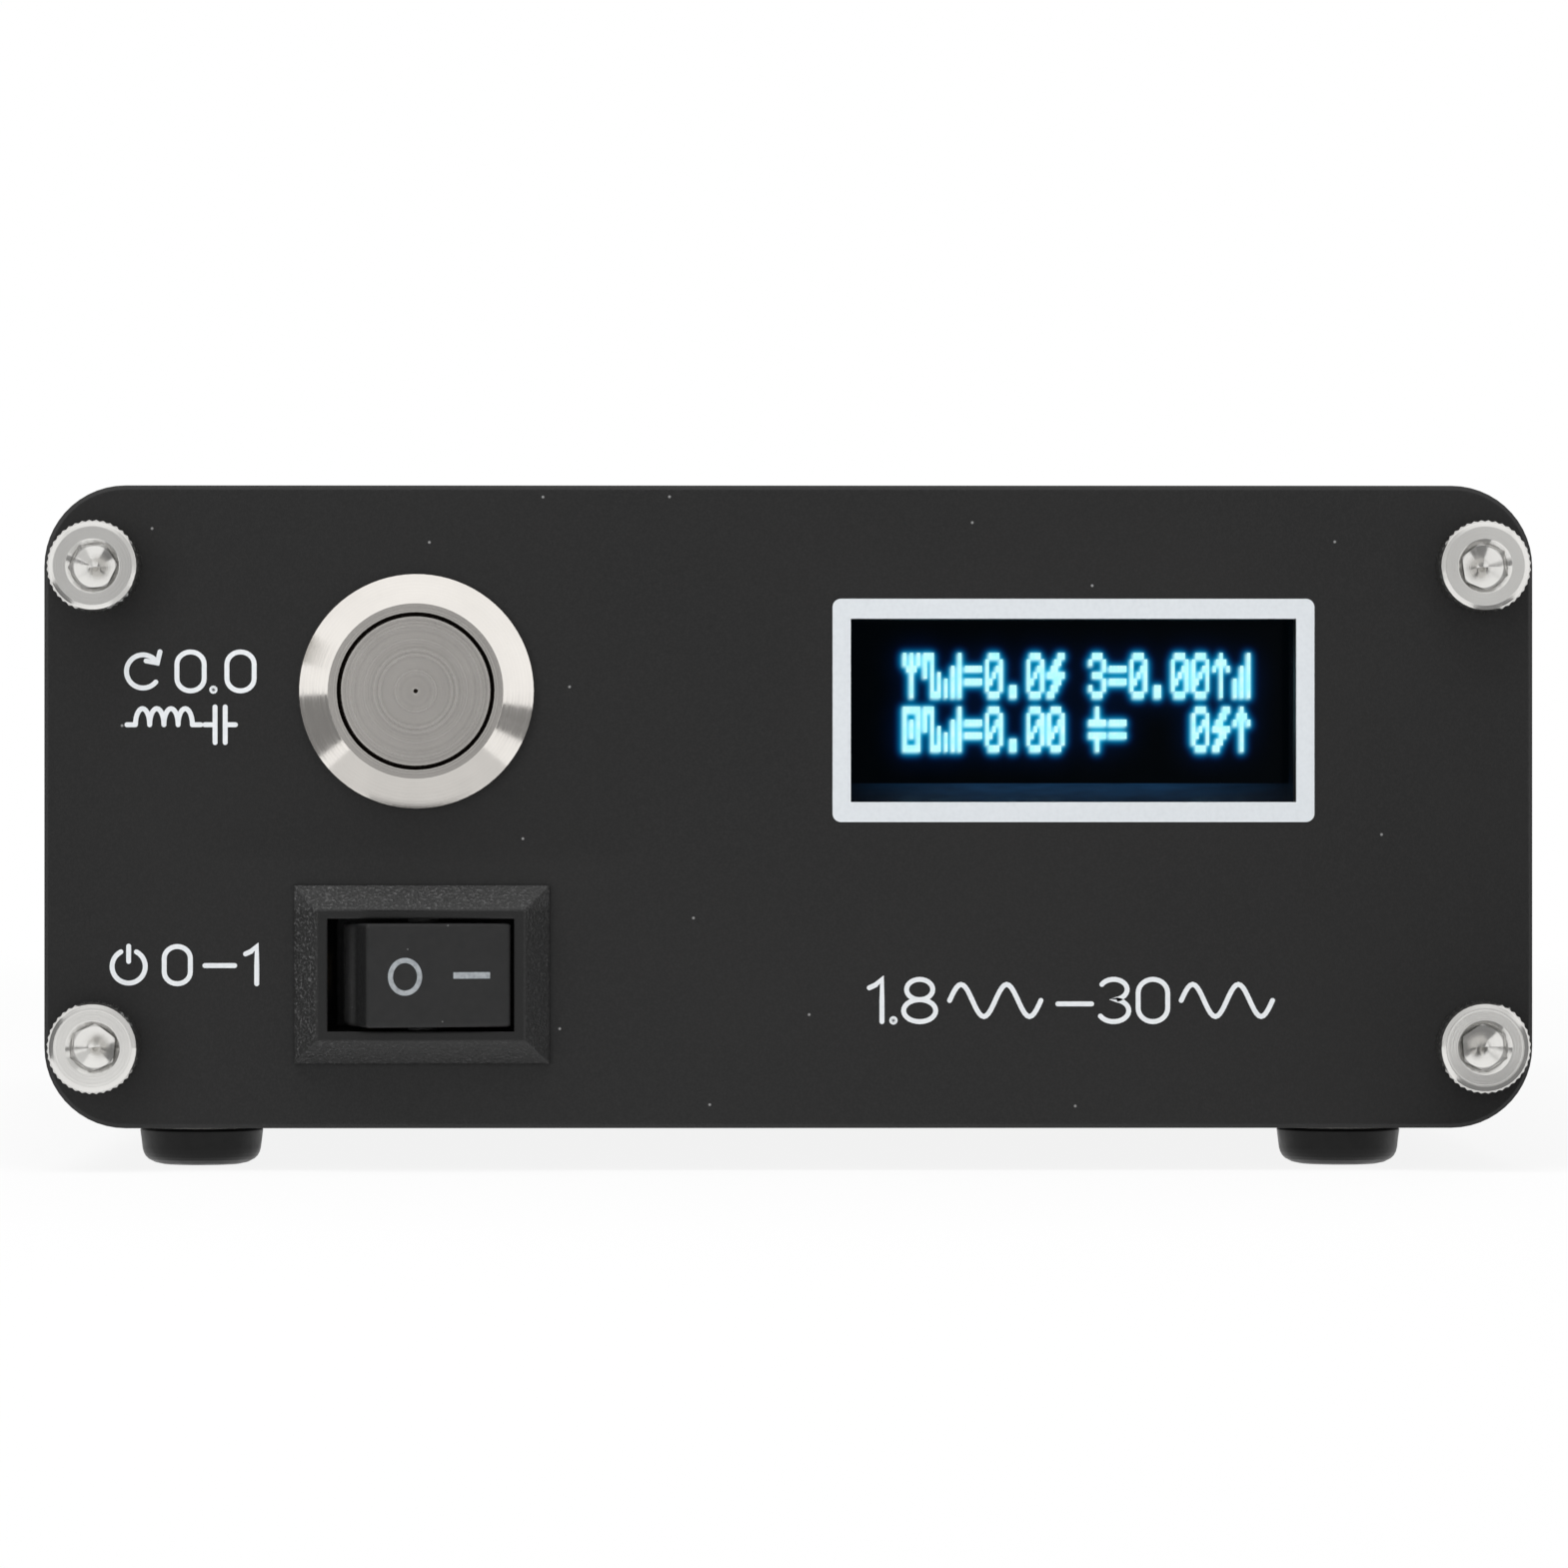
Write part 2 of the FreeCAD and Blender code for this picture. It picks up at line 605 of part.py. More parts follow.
def wire_turn(inner_w, inner_h, wire_r):
    """One closed rectangular turn of round wire in the XZ plane, centred on the origin."""
    w = inner_w / 2 + wire_r
    h = inner_h / 2 + wire_r
    bend = 2 * wire_r
    outer = rounded_plate(0, 0, 2 * (w + wire_r), 2 * (h + wire_r), bend, -wire_r, wire_r)
    inner = rounded_plate(0, 0, 2 * (w - wire_r), 2 * (h - wire_r), 0.2, -wire_r, wire_r)
    ring = outer.cut(inner)
    edges = [e for e in ring.Edges if abs(abs(e.CenterOfMass.y) - wire_r) < 1e-6]
    return ring.makeChamfer(0.35 * wire_r, edges)


def toroid(x, d, outer_r, inner_r, thick, turns, wire_r):
    """Standing ring core with its axis along X, and the turns of wire around it."""
    y = front(d)
    gap = 0.08
    lift = 2 * wire_r + gap
    z = BOARD_TOP + outer_r + lift
    tube = Part.makeCylinder(outer_r, thick, V(x - thick / 2, y, z), ALONG_X)
    core = tube.cut(Part.makeCylinder(inner_r, thick, V(x - thick / 2, y, z), ALONG_X))
    edge = 0.6
    core = core.makeFillet(edge, [e for e in core.Edges if e.Curve.TypeId == "Part::GeomCircle"])
    turn = wire_turn(thick + 2 * gap, outer_r - inner_r + 2 * gap, wire_r)
    turn.translate(V(x, y, z + (outer_r + inner_r) / 2))
    covered = 300.0
    windings = []
    for i in range(turns):
        copy = turn.copy()
        copy.rotate(V(x, y, z), ALONG_X, covered * i / (turns - 1) - covered / 2)
        windings.append(copy)
    return core, windings


def air_coil(d, turns):
    """Closed turns of thick wire, side by side, near the left front of the board."""
    coil_r = 3.0
    wire_r = 0.5
    pitch = 1.3
    z = BOARD_TOP + coil_r + wire_r + 0.2
    return [Part.makeTorus(coil_r, wire_r, V(-35.0, front(d + i * pitch), z), ALONG_Y) for i in range(turns)]


def disc_capacitor(x, d, r):
    """High-voltage disc on two leads."""
    y = front(d)
    thick = 3.2
    z = BOARD_TOP + 2.0 + r
    disc = Part.makeCylinder(r, thick, V(x, y - thick / 2, z), ALONG_Y)
    disc = disc.makeFillet(1.2, [e for e in disc.Edges if e.Curve.TypeId == "Part::GeomCircle"])
    leads = [post(x + side * 2.5, y, 0.3, BOARD_TOP, z) for side in (-1, 1)]
    return disc.fuse(leads)


def chip(x, d, w, length, h, leads):
    """Surface-mount package, long side along X, with leads on both long sides."""
    y = front(d)
    body = box(x - length / 2, x + length / 2, y - w / 2, y + w / 2, BOARD_TOP + 0.2, BOARD_TOP + h)
    feet_solids = []
    pitch = 1.27
    for i in range(leads // 2):
        lead_x = x + (i - (leads // 2 - 1) / 2) * pitch
        for side in (-1, 1):
            y0 = y + side * w / 2
            y1 = y0 + side * 1.3
            shin = box(lead_x - 0.2, lead_x + 0.2, min(y0, y1), max(y0, y1), BOARD_TOP, BOARD_TOP + 0.25)
            knee = y0 + side * 0.25
            shin = shin.fuse(
                box(lead_x - 0.2, lead_x + 0.2, min(y0, knee), max(y0, knee), BOARD_TOP, BOARD_TOP + h / 2)
            )
            feet_solids.append(shin)
    return body.fuse(feet_solids)


def coupler(x, d):
    """Two-hole ferrite block of the power and match sensor, with wire through both holes."""
    y = front(d)
    z = BOARD_TOP + 4.2
    hole_x = 3.4
    block_solid = box(x - 7.1, x + 7.1, y - 6.6, y + 6.6, z - 3.75, z + 3.75)
    corners = [e for e in block_solid.Edges if abs(e.tangentAt(e.FirstParameter).y) > 0.9]
    core = block_solid.makeFillet(3.0, corners)
    core = core.cut([rod(x + side * hole_x, z, 2.0, y - 7, y + 7) for side in (-1, 1)])
    turns = []
    for side in (-1, 1):
        for lift in (-0.9, 0.0, 0.9):
            start = x + side * (hole_x + 0.9 * lift)
            reach = 8.2
            points = [(start, y - reach, BOARD_TOP), (start, y - reach, z + lift)]
            points += [(start, y + reach, z + lift), (start, y + reach, BOARD_TOP)]
            turns.append(wire_run(points, 0.9, 0.35))
    return core, turns


def regulator(x, d):
    """Power regulator lying on the board: plastic body, metal tab with its hole, three leads."""
    y = front(d)
    z = BOARD_TOP
    tab = box(x - 5.0, x + 5.0, y - 1.0, y + 7.5, z + 0.05, z + 1.3)
    tab = tab.cut(post(x, y + 4.9, 1.8, z, z + 2))
    body = box(x - 5.0, x + 5.0, y - 8.0, y + 1.0, z + 0.05, z + 4.5)
    leads = [box(x + k * 2.54 - 0.4, x + k * 2.54 + 0.4, y - 12.0, y - 8.0, z, z + 0.7) for k in (-1, 0, 1)]
    return tab.fuse([body] + leads)


def electrolytic(x, d):
    y = front(d)
    z = BOARD_TOP
    outline = [(0, z), (3.7, z), (4.0, z + 0.3), (4.0, z + 1.4), (3.75, z + 1.8), (4.0, z + 2.2)]
    outline += [(4.0, z + 11.2), (3.7, z + 11.5), (3.2, z + 11.5), (3.1, z + 11.3), (0, z + 11.3)]
    return turned_upright(x, y, outline)


def small_parts():
    """Resistors, capacitors and diodes soldered on the top of the board."""
    parts = []
    for i in range(RELAY_COUNT):
        y = front(RELAY_FIRST + i * RELAY_PITCH)
        parts.append(box(-0.8, 0.8, y - 1.4, y + 1.4, BOARD_TOP, BOARD_TOP + 1.1))
        for side in (-1, 1):
            x = side * 24.4
            parts.append(box(x - 0.65, x + 0.65, y - 1.0, y + 1.0, BOARD_TOP, BOARD_TOP + 0.6))
    for i in range(8):
        x = 3.0 + i * 3.1
        y = front(138.5)
        parts.append(box(x - 1.0, x + 1.0, y - 0.65, y + 0.65, BOARD_TOP, BOARD_TOP + 0.6))
    return parts


def make_board():
    y0 = front(BOARD_FRONT)
    y1 = front(BOARD_REAR)
    write("main_board", box(-BOARD_W / 2, BOARD_W / 2, y0, y1, BOARD_TOP - BOARD_T, BOARD_TOP))
    rows = [(x, RELAY_FIRST + i * RELAY_PITCH) for x in (-12.5, 12.5) for i in range(RELAY_COUNT)]
    write("tuning_relays", *[relay(x, d) for x, d in rows])
    write("changeover_relay", relay(12.0, 128.0))

    cores = []
    windings = []
    for d, turns in ((53.0, 11), (74.0, 15), (95.0, 19), (116.0, 23)):
        core, wires = toroid(-33.0, d, 8.75, 4.7, 4.8, turns, 0.42)
        cores.append(core)
        windings += wires
    write("toroid_cores", *cores)
    write("toroid_windings", *windings)
    write("air_coils", *air_coil(25.5, 2), *air_coil(30.0, 3), *air_coil(35.8, 4))

    discs = []
    for i in range(RELAY_COUNT):
        discs.append(disc_capacitor(32.0, RELAY_FIRST + i * RELAY_PITCH, 3.6 + 0.3 * i))
    write("high_voltage_capacitors", *discs)

    core, turns = coupler(-12.0, 131.0)
    write("coupler_core", core)
    write("coupler_windings", *turns)
    write("microcontroller", chip(12.0, 33.0, 7.5, 17.9, 2.5, 28))
    write("relay_drivers", chip(-33.0, 133.0, 3.9, 9.9, 1.75, 16), chip(33.0, 131.0, 3.9, 9.9, 1.75, 16))
    write("board_small_parts", *small_parts())
    write("voltage_regulator", regulator(34.7, 35.0))
    write("electrolytic_capacitors", electrolytic(-11.0, 31.0), electrolytic(25.5, 36.0))


# ---------------------------------------------------------------- rear sockets
def make_socket(name, x):
    """Square-flange coaxial socket with a 5/8 inch thread: shell, insulator and centre contact."""
    z = MID_Z
    neck = SOCKET_FLANGE_T
    back = -3.0
    outline = [(SOCKET_BORE_R, rear(back)), (SOCKET_SPIGOT_R, rear(back))]
    outline.append((SOCKET_SPIGOT_R, rear(neck + 0.8)))
    outline += threaded_outline(
        SOCKET_THREAD_R, 0.55, SOCKET_THREAD_PITCH, rear(neck + 1.1), rear(SOCKET_LENGTH - 0.6)
    )
    outline += [(SOCKET_THREAD_R - 0.45, rear(SOCKET_LENGTH)), (SOCKET_BORE_R, rear(SOCKET_LENGTH))]
    shell = turned(x, z, outline)
    flange = rounded_plate(x, z, SOCKET_FLANGE, SOCKET_FLANGE, 1.6, rear(0), rear(neck))
    flange = flange.cut(rod(x, z, SOCKET_BORE_R, rear(-1), rear(neck + 1)))
    shell = shell.fuse(flange)
    cuts = [rod(x + dx, sz, 1.6, rear(-1), rear(neck + 1)) for dx, sz in socket_screw_places()]
    notch = 1.0
    for w, h in ((2 * notch, 4 * SOCKET_THREAD_R), (4 * SOCKET_THREAD_R, 2 * notch)):
        cuts.append(block(x, z, w, h, rear(SOCKET_LENGTH - notch), rear(SOCKET_LENGTH + 1)))
    write(f"{name}_socket_shell", shell.cut(cuts))

    mouth = SOCKET_LENGTH - SOCKET_RECESS
    contact_r = 2.9
    outline = [(contact_r + 0.02, rear(back)), (SOCKET_BORE_R - 0.02, rear(back))]
    outline += [(SOCKET_BORE_R - 0.02, rear(mouth)), (contact_r + 0.02, rear(mouth))]
    write(f"{name}_socket_insulator", turned(x, z, outline))
    bore_depth = 9.0
    outline = [(CONTACT_BORE_R, rear(mouth)), (contact_r, rear(mouth)), (contact_r, rear(back - 0.5))]
    outline += [(1.8, rear(back - 0.5)), (1.8, rear(-8.5)), (0, rear(-8.5))]
    outline += [(0, rear(mouth - bore_depth)), (CONTACT_BORE_R, rear(mouth - bore_depth + 0.8))]
    contact = turned(x, z, outline)
    slit = block(x, z, 0.5, 2 * contact_r, rear(mouth - 5.0), rear(mouth))
    write(f"{name}_socket_contact", contact.cut(slit))


def pan_head_screw(x, z, length):
    """M3 pan head screw with a cross slot, its head outside the socket flange, going inwards."""
    seat = rear(SOCKET_FLANGE_T)
    outline = [(0, seat + 1.9), (1.4, seat + 1.8), (2.3, seat + 1.4), (2.75, seat + 0.7), (2.75, seat)]
    outline += [(1.48, seat), (1.48, seat - length), (0, seat - length)]
    screw = turned(x, z, outline)
    cross = [block(x, z, 3.0, 0.5, seat + 0.9, seat + 2), block(x, z, 0.5, 3.0, seat + 0.9, seat + 2)]
    return screw.cut(cross)


def make_socket_fasteners():
    screws = []
    nuts = []
    nut_t = 2.4
    inside = rear(-PANEL_T)
    for side in (-1, 1):
        for x, z in socket_screw_places():
            x += side * SOCKET_X
            screws.append(pan_head_screw(x, z, 8.0))
            nut = hexagon_bar(x, z, 5.5, inside - nut_t, inside, 30.0)
            nuts.append(nut.cut(rod(x, z, M3_R, inside - nut_t, inside)))
    write("socket_screws", *screws)
    write("socket_nuts", *nuts)


def make_power_jack():
    """Barrel power jack for a 5.5 mm plug with a 2.1 mm centre."""
    z = MID_Z + JACK_Z
    back = -9.0
    outline = [(JACK_BORE_R, rear(1.5)), (5.0, rear(1.5)), (5.4, rear(1.1)), (5.4, rear(0))]
    outline += threaded_outline(JACK_BARREL_R, 0.3, 0.75, rear(back), rear(0))[::-1]
    outline += [(0, rear(back)), (0, rear(back + 1.0)), (JACK_BORE_R, rear(back + 1.0))]
    body = turned(0, z, outline)
    tail = 13.0
    root_r = JACK_PIN_R + 0.3
    outline = [(0, rear(0.5)), (0.6, rear(0.5)), (JACK_PIN_R, rear(0)), (JACK_PIN_R, rear(back + 1.0))]
    outline += [(root_r, rear(back + 1.0)), (root_r, rear(back)), (0, rear(back))]
    pin = turned(0, z, outline)
    pin = pin.fuse(block(0, z, 1.8, 0.5, rear(-tail), rear(back)))
    sleeve = block(2.55, z, 0.3, 1.6, rear(-tail), rear(-4.0))
    write("power_jack_contacts", pin, sleeve)
    write("power_jack_body", body.cut([pin, sleeve]))
    nut = hexagon_bar(0, z, 11.0, rear(-PANEL_T - 2.0), rear(-PANEL_T), 30.0)
    write("power_jack_nut", nut.cut(rod(0, z, JACK_BARREL_R + 0.02, rear(-6), rear(0))))
    return tail


def make_ground_terminal():
    """Threaded stud with its fixing nut, captive washer and knurled thumb nut."""
    z = MID_Z + GROUND_Z
    head = rear(-PANEL_T)
    outline = [(0, head - 2.6), (3.0, head - 2.6), (3.5, head - 2.0), (3.5, head), (GROUND_R, head)]
    outline += threaded_outline(GROUND_R, 0.3, GROUND_THREAD_PITCH, head, rear(GROUND_LENGTH - 0.5))
    outline += [(GROUND_R - 0.4, rear(GROUND_LENGTH)), (0, rear(GROUND_LENGTH))]
    write("ground_stud", turned(0, z, outline))
    nut_t = 3.0
    nut = hexagon_bar(0, z, 7.0, rear(0), rear(nut_t), 0.0)
    write("ground_nut", nut.cut(rod(0, z, GROUND_R + 0.02, rear(0), rear(nut_t))))
    washer_t = 0.8
    bore_r = GROUND_R + 0.05
    washer_y = rear(nut_t + GAP)
    washer = rod(0, z, 4.4, washer_y, washer_y + washer_t)
    write("ground_washer", washer.cut(rod(0, z, bore_r, washer_y, washer_y + washer_t)))
    grip = washer_y + washer_t + GAP
    knurls = 30
    star = []
    for i in range(2 * knurls):
        r = 4.9 if i % 2 else 4.65
        a = math.pi * i / knurls
        star.append(V(r * math.cos(a), grip, z + r * math.sin(a)))
    outline = [(0, grip), (4.6, grip), (4.9, grip + 0.3), (4.9, grip + 3.1), (4.6, grip + 3.4)]
    outline.append((0, grip + 3.4))
    wheel = prism(star, V(0, 3.4, 0)).common(turned(0, z, outline))
    collar = rod(0, z, 3.4, grip, grip + 4.8)
    write("ground_thumb_nut", wheel.fuse(collar).cut(rod(0, z, bore_r, grip - 1, grip + 6)))


# ---------------------------------------------------------------- wiring
def make_wiring(display_pins, jack_tail):
    bend = 1.5
    header_x, pin_zs, pin_end = display_pins
    places = []
    ribbon = []
    for row, pin_z in enumerate(pin_zs):
        back = 27.0 + 2.54 * row
        places.append((header_x, back))
        points = [(header_x, front(pin_end), pin_z), (header_x, front(back), pin_z)]
        points.append((header_x, front(back), HEADER_TOP))
        ribbon.append(wire_run(points, bend, 0.5))
    write("display_cable", *ribbon)

    z = MID_Z + BUTTON_Z
    leads = []
    for side in (-1, 1):
        x = BUTTON_X + side * BUTTON_PITCH / 2
        places.append((x, 34.5))
        points = [(x, front(BUTTON_TAIL), z), (x, front(34.5), z), (x, front(34.5), HEADER_TOP)]
        leads.append(wire_run(points, bend, 0.6))
    write("button_wires", *leads)

    z = MID_Z + SWITCH_Z
    over = HEADER_TOP + 3.4
    turn_up = 20.6
    places.append((SWITCH_X, 29.5))
    to_board = [(SWITCH_X, front(SWITCH_TAIL), z), (SWITCH_X, front(turn_up), z)]
    to_board += [(SWITCH_X, front(turn_up), over), (SWITCH_X, front(29.5), over)]
    to_board += [(SWITCH_X, front(29.5), HEADER_TOP)]
    side_x = -31.5
    high = MID_Z + 12.0
    jack_z = MID_Z + JACK_Z
    tail = rear(-jack_tail)
    on_x = SWITCH_X - 3.6
    from_jack = [(on_x, front(SWITCH_TAIL), z), (on_x, front(turn_up), z), (side_x, front(turn_up), z)]
    from_jack += [(side_x, front(turn_up), high), (0, front(turn_up), high), (0, tail - 9.0, high)]
    from_jack += [(0, tail - 4.0, jack_z), (0, tail, jack_z)]
    sleeve_x = 2.55
    ground = [(sleeve_x, tail, jack_z), (sleeve_x, front(136.0), jack_z), (sleeve_x, front(136.0), BOARD_TOP)]
    runs = [wire_run(to_board, bend, 0.7), wire_run(from_jack, bend, 0.7), wire_run(ground, bend, 0.7)]
    write("power_wires", *runs)

    links = []
    for side in (-1, 1):
        x = side * SOCKET_X
        points = [(x, rear(-8.5), MID_Z), (x, front(136.0), MID_Z), (x, front(136.0), BOARD_TOP)]
        links.append(wire_run(points, 3.0, 0.8))
    write("socket_links", *links)
    write("pin_headers", *upright_header(places))


make_case()
make_button()
make_switch()
display_pins = make_display()
make_board()
make_socket("antenna", SOCKET_X)
make_socket("radio", -SOCKET_X)
make_socket_fasteners()
jack_tail = make_power_jack()
make_ground_terminal()
make_wiring(display_pins, jack_tail)
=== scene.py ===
# Looks of the antenna tuner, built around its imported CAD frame. Metres; the front panel faces -Y, Z is up.
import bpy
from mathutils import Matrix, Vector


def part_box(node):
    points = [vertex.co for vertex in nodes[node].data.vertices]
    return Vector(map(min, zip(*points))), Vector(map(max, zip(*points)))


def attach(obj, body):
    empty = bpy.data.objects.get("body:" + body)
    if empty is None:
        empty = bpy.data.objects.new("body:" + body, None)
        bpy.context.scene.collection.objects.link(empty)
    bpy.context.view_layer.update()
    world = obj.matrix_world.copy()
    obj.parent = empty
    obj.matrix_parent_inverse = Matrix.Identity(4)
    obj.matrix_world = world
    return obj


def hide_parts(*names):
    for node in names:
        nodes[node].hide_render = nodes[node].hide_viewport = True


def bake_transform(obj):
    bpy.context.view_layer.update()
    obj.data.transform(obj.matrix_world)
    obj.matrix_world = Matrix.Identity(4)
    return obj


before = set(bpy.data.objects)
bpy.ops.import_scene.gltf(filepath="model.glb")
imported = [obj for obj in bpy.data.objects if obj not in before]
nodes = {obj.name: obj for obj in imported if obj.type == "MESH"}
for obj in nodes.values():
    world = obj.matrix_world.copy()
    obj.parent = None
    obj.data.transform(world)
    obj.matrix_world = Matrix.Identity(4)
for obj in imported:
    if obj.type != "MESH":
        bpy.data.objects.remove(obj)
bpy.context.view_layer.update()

import math

import bmesh
import bpy
import numpy as np
from mathutils import Matrix, Vector

MM = 0.001
scene = bpy.context.scene


def middle(node):
    low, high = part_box(node)
    return (low + high) / 2


FACE_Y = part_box("front_panel")[0].y
BACK_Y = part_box("rear_panel")[1].y
MID_Z = middle("front_panel").z
BUTTON = middle("button_cap")
SWITCH = middle("switch_housing")
GLASS = middle("display_glass")
GLASS_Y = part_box("display_glass")[0].y
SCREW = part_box("front_panel_screws")[1]
SCREW_HEAD_R = 2.72 * MM
ROCKER_PIVOT_Y = FACE_Y + 2.0 * MM
ROCKER_TILT = math.radians(13.0)
ROCKER_FACE_Y = ROCKER_PIVOT_Y - 4.93 * MM


# ---------------------------------------------------------------- materials
class Finish:
    """One Principled material, worked out from procedural nodes in the piece's own coordinates."""

    def __init__(self, name, metallic=0.0, specular=0.5, coat=0.0, coat_roughness=0.1):
        self.material = bpy.data.materials.new(name)
        self.material.use_nodes = True
        self.tree = self.material.node_tree
        self.shader = self.tree.nodes["Principled BSDF"]
        self.shader.inputs["Metallic"].default_value = metallic
        self.shader.inputs["Specular IOR Level"].default_value = specular
        self.shader.inputs["Coat Weight"].default_value = coat
        self.shader.inputs["Coat Roughness"].default_value = coat_roughness
        self.place = self.tree.nodes.new("ShaderNodeTexCoord").outputs["Object"]
        self.normal = None

    def node(self, kind, inputs, **settings):
        """New node with its settings, and its inputs linked to sockets or set to values."""
        made = self.tree.nodes.new(kind)
        for key, value in settings.items():
            setattr(made, key, value)
        for key, value in inputs.items():
            if isinstance(value, bpy.types.NodeSocket):
                self.tree.links.new(value, made.inputs[key])
            else:
                made.inputs[key].default_value = value
        return made

    def scaled(self, stretch):
        return self.node("ShaderNodeMapping", {"Vector": self.place, "Scale": stretch}).outputs["Vector"]

    def maths(self, operation, first, second=0.5):
        return self.node("ShaderNodeMath", {0: first, 1: second}, operation=operation).outputs[0]

    def noise(self, size, detail=2.0, stretch=None):
        """Noise from 0 to 1 with features of size mm."""
        vector = self.scaled(stretch) if stretch else self.place
        inputs = {"Vector": vector, "Scale": 1.0 / (size * MM), "Detail": detail}
        return self.node("ShaderNodeTexNoise", inputs).outputs["Fac"]

    def radius(self, x, z, mirrored=False):
        """Distance from the axis along Y through (x, z), or from four axes mirrored about the middle."""
        source = self.place
        if mirrored:
            shifted = self.node("ShaderNodeVectorMath", {0: source, 1: (0, 0, -MID_Z)}).outputs[0]
            source = self.node("ShaderNodeVectorMath", {0: shifted}, operation="ABSOLUTE").outputs[0]
        flat = self.node("ShaderNodeVectorMath", {0: source, 1: (1, 0, 1)}, operation="MULTIPLY").outputs[0]
        offset = self.node("ShaderNodeVectorMath", {0: flat, 1: (x, 0, z)}, operation="SUBTRACT").outputs[0]
        return self.node("ShaderNodeVectorMath", {0: offset}, operation="LENGTH").outputs["Value"]

    def rings(self, radius, size, detail=3.0):
        """Noise that changes with a radius only: the marks a lathe tool leaves."""
        inputs = {"W": radius, "Scale": 1.0 / (size * MM), "Detail": detail}
        return self.node("ShaderNodeTexNoise", inputs, noise_dimensions="1D").outputs["Fac"]

    def spread(self, value, low, high, start=0.3, end=0.7):
        inputs = {"Value": value, "From Min": start, "From Max": end, "To Min": low, "To Max": high}
        return self.node("ShaderNodeMapRange", inputs).outputs["Result"]

    def mix(self, factor, first, second):
        made = self.node("ShaderNodeMix", {}, data_type="RGBA")
        for index, value in ((0, factor), (6, first), (7, second)):
            if isinstance(value, bpy.types.NodeSocket):
                self.tree.links.new(value, made.inputs[index])
            elif index:
                made.inputs[index].default_value = (*value, 1.0)
            else:
                made.inputs[index].default_value = value
        return made.outputs[2]

    def colour(self, value):
        self.tree.links.new(value, self.shader.inputs["Base Color"])

    def roughness(self, value):
        self.tree.links.new(value, self.shader.inputs["Roughness"])

    def emission(self, value):
        self.tree.links.new(value, self.shader.inputs["Emission Color"])
        self.shader.inputs["Emission Strength"].default_value = 1.0

    def soften(self, width):
        """Rounds sharp edges in the shading by width mm."""
        made = self.node("ShaderNodeBevel", {"Radius": width * MM}, samples=6)
        self.normal = made.outputs["Normal"]
        self.tree.links.new(self.normal, self.shader.inputs["Normal"])

    def edges(self, width):
        """1 along sharp edges, 0 on flats: how far the rounded normal leans from the true one; the mask of
        painted edge highlights.
        """
        rounded = self.node("ShaderNodeBevel", {"Radius": width * MM}, samples=6).outputs["Normal"]
        true = self.node("ShaderNodeNewGeometry", {}).outputs["Normal"]
        made = self.node("ShaderNodeVectorMath", {0: rounded, 1: true}, operation="DOT_PRODUCT")
        return self.spread(made.outputs["Value"], 1.0, 0.0, 0.8, 0.985)

    def bump(self, height, depth):
        """Relief of depth mm from a height of 0 to 1, on top of any earlier relief."""
        inputs = {"Height": height, "Distance": depth * MM}
        if self.normal:
            inputs["Normal"] = self.normal
        self.normal = self.node("ShaderNodeBump", inputs).outputs["Normal"]
        self.tree.links.new(self.normal, self.shader.inputs["Normal"])

    def specks(self, cell, share, size):
        """1 on small specks of a front face, 0 elsewhere: one per cell mm, in a share of the cells."""
        place = self.node("ShaderNodeSeparateXYZ", {"Vector": self.place}).outputs
        flat = self.node("ShaderNodeCombineXYZ", {"X": place["X"], "Y": place["Z"]}).outputs[0]
        inputs = {"Vector": flat, "Scale": 1.0 / (cell * MM)}
        cells = self.node("ShaderNodeTexVoronoi", inputs, voronoi_dimensions="2D")
        near = self.spread(cells.outputs["Distance"], 1.0, 0.0, 0.5 * size / cell, size / cell)
        pick = self.node("ShaderNodeSeparateColor", {"Color": cells.outputs["Color"]}).outputs[0]
        return self.maths("MULTIPLY", near, self.maths("LESS_THAN", pick, share))


def shade(colour, amount):
    return tuple(min(1.0, channel * amount) for channel in colour)


def mottled(name, colour, rough, vary=0.12, patch=5.0, grain=0.0, depth=0.0, edge=0.0, **shader):
    """Colour that drifts a little over patches of patch mm, with its own grain and roughness."""
    made = Finish(name, **shader)
    drift = made.spread(made.noise(patch, 3.0), 0.0, 1.0)
    made.colour(made.mix(drift, shade(colour, 1 - vary), shade(colour, 1 + vary)))
    made.roughness(made.spread(made.noise(patch * 0.4, 4.0), *rough))
    if edge:
        made.soften(edge)
    if grain:
        made.bump(made.noise(grain, 3.0), depth)
    return made


def panel_finish():
    """Satin black anodising: even, with a very fine matt grain, a painted highlight along its edges and a few
    specks of dust.
    """
    made = Finish("satin_black_panel", specular=0.26)
    drift = made.spread(made.noise(16.0, 2.0), 0.0, 1.0)
    base = made.mix(drift, (0.0128, 0.0128, 0.0130), (0.0146, 0.0144, 0.0144))
    fine = made.spread(made.noise(0.12, 2.0), 0.0, 1.0, 0.42, 0.75)
    grain_and_edge_highlight = made.mix(fine, base, (0.0182, 0.0180, 0.0179))
    # painted highlight: lighter colour along the panel's edges, from the edge mask
    grain_and_edge_highlight = made.mix(made.maths("MULTIPLY", made.edges(0.25), 0.5), grain_and_edge_highlight, (0.035, 0.035, 0.035))
    made.colour(made.mix(made.specks(8.0, 0.5, 0.1), grain_and_edge_highlight, (0.26, 0.26, 0.26)))
    made.roughness(made.spread(made.noise(0.3, 4.0), 0.42, 0.52))
    made.soften(0.1)
    made.bump(made.noise(0.09, 2.0), 0.004)
    return made


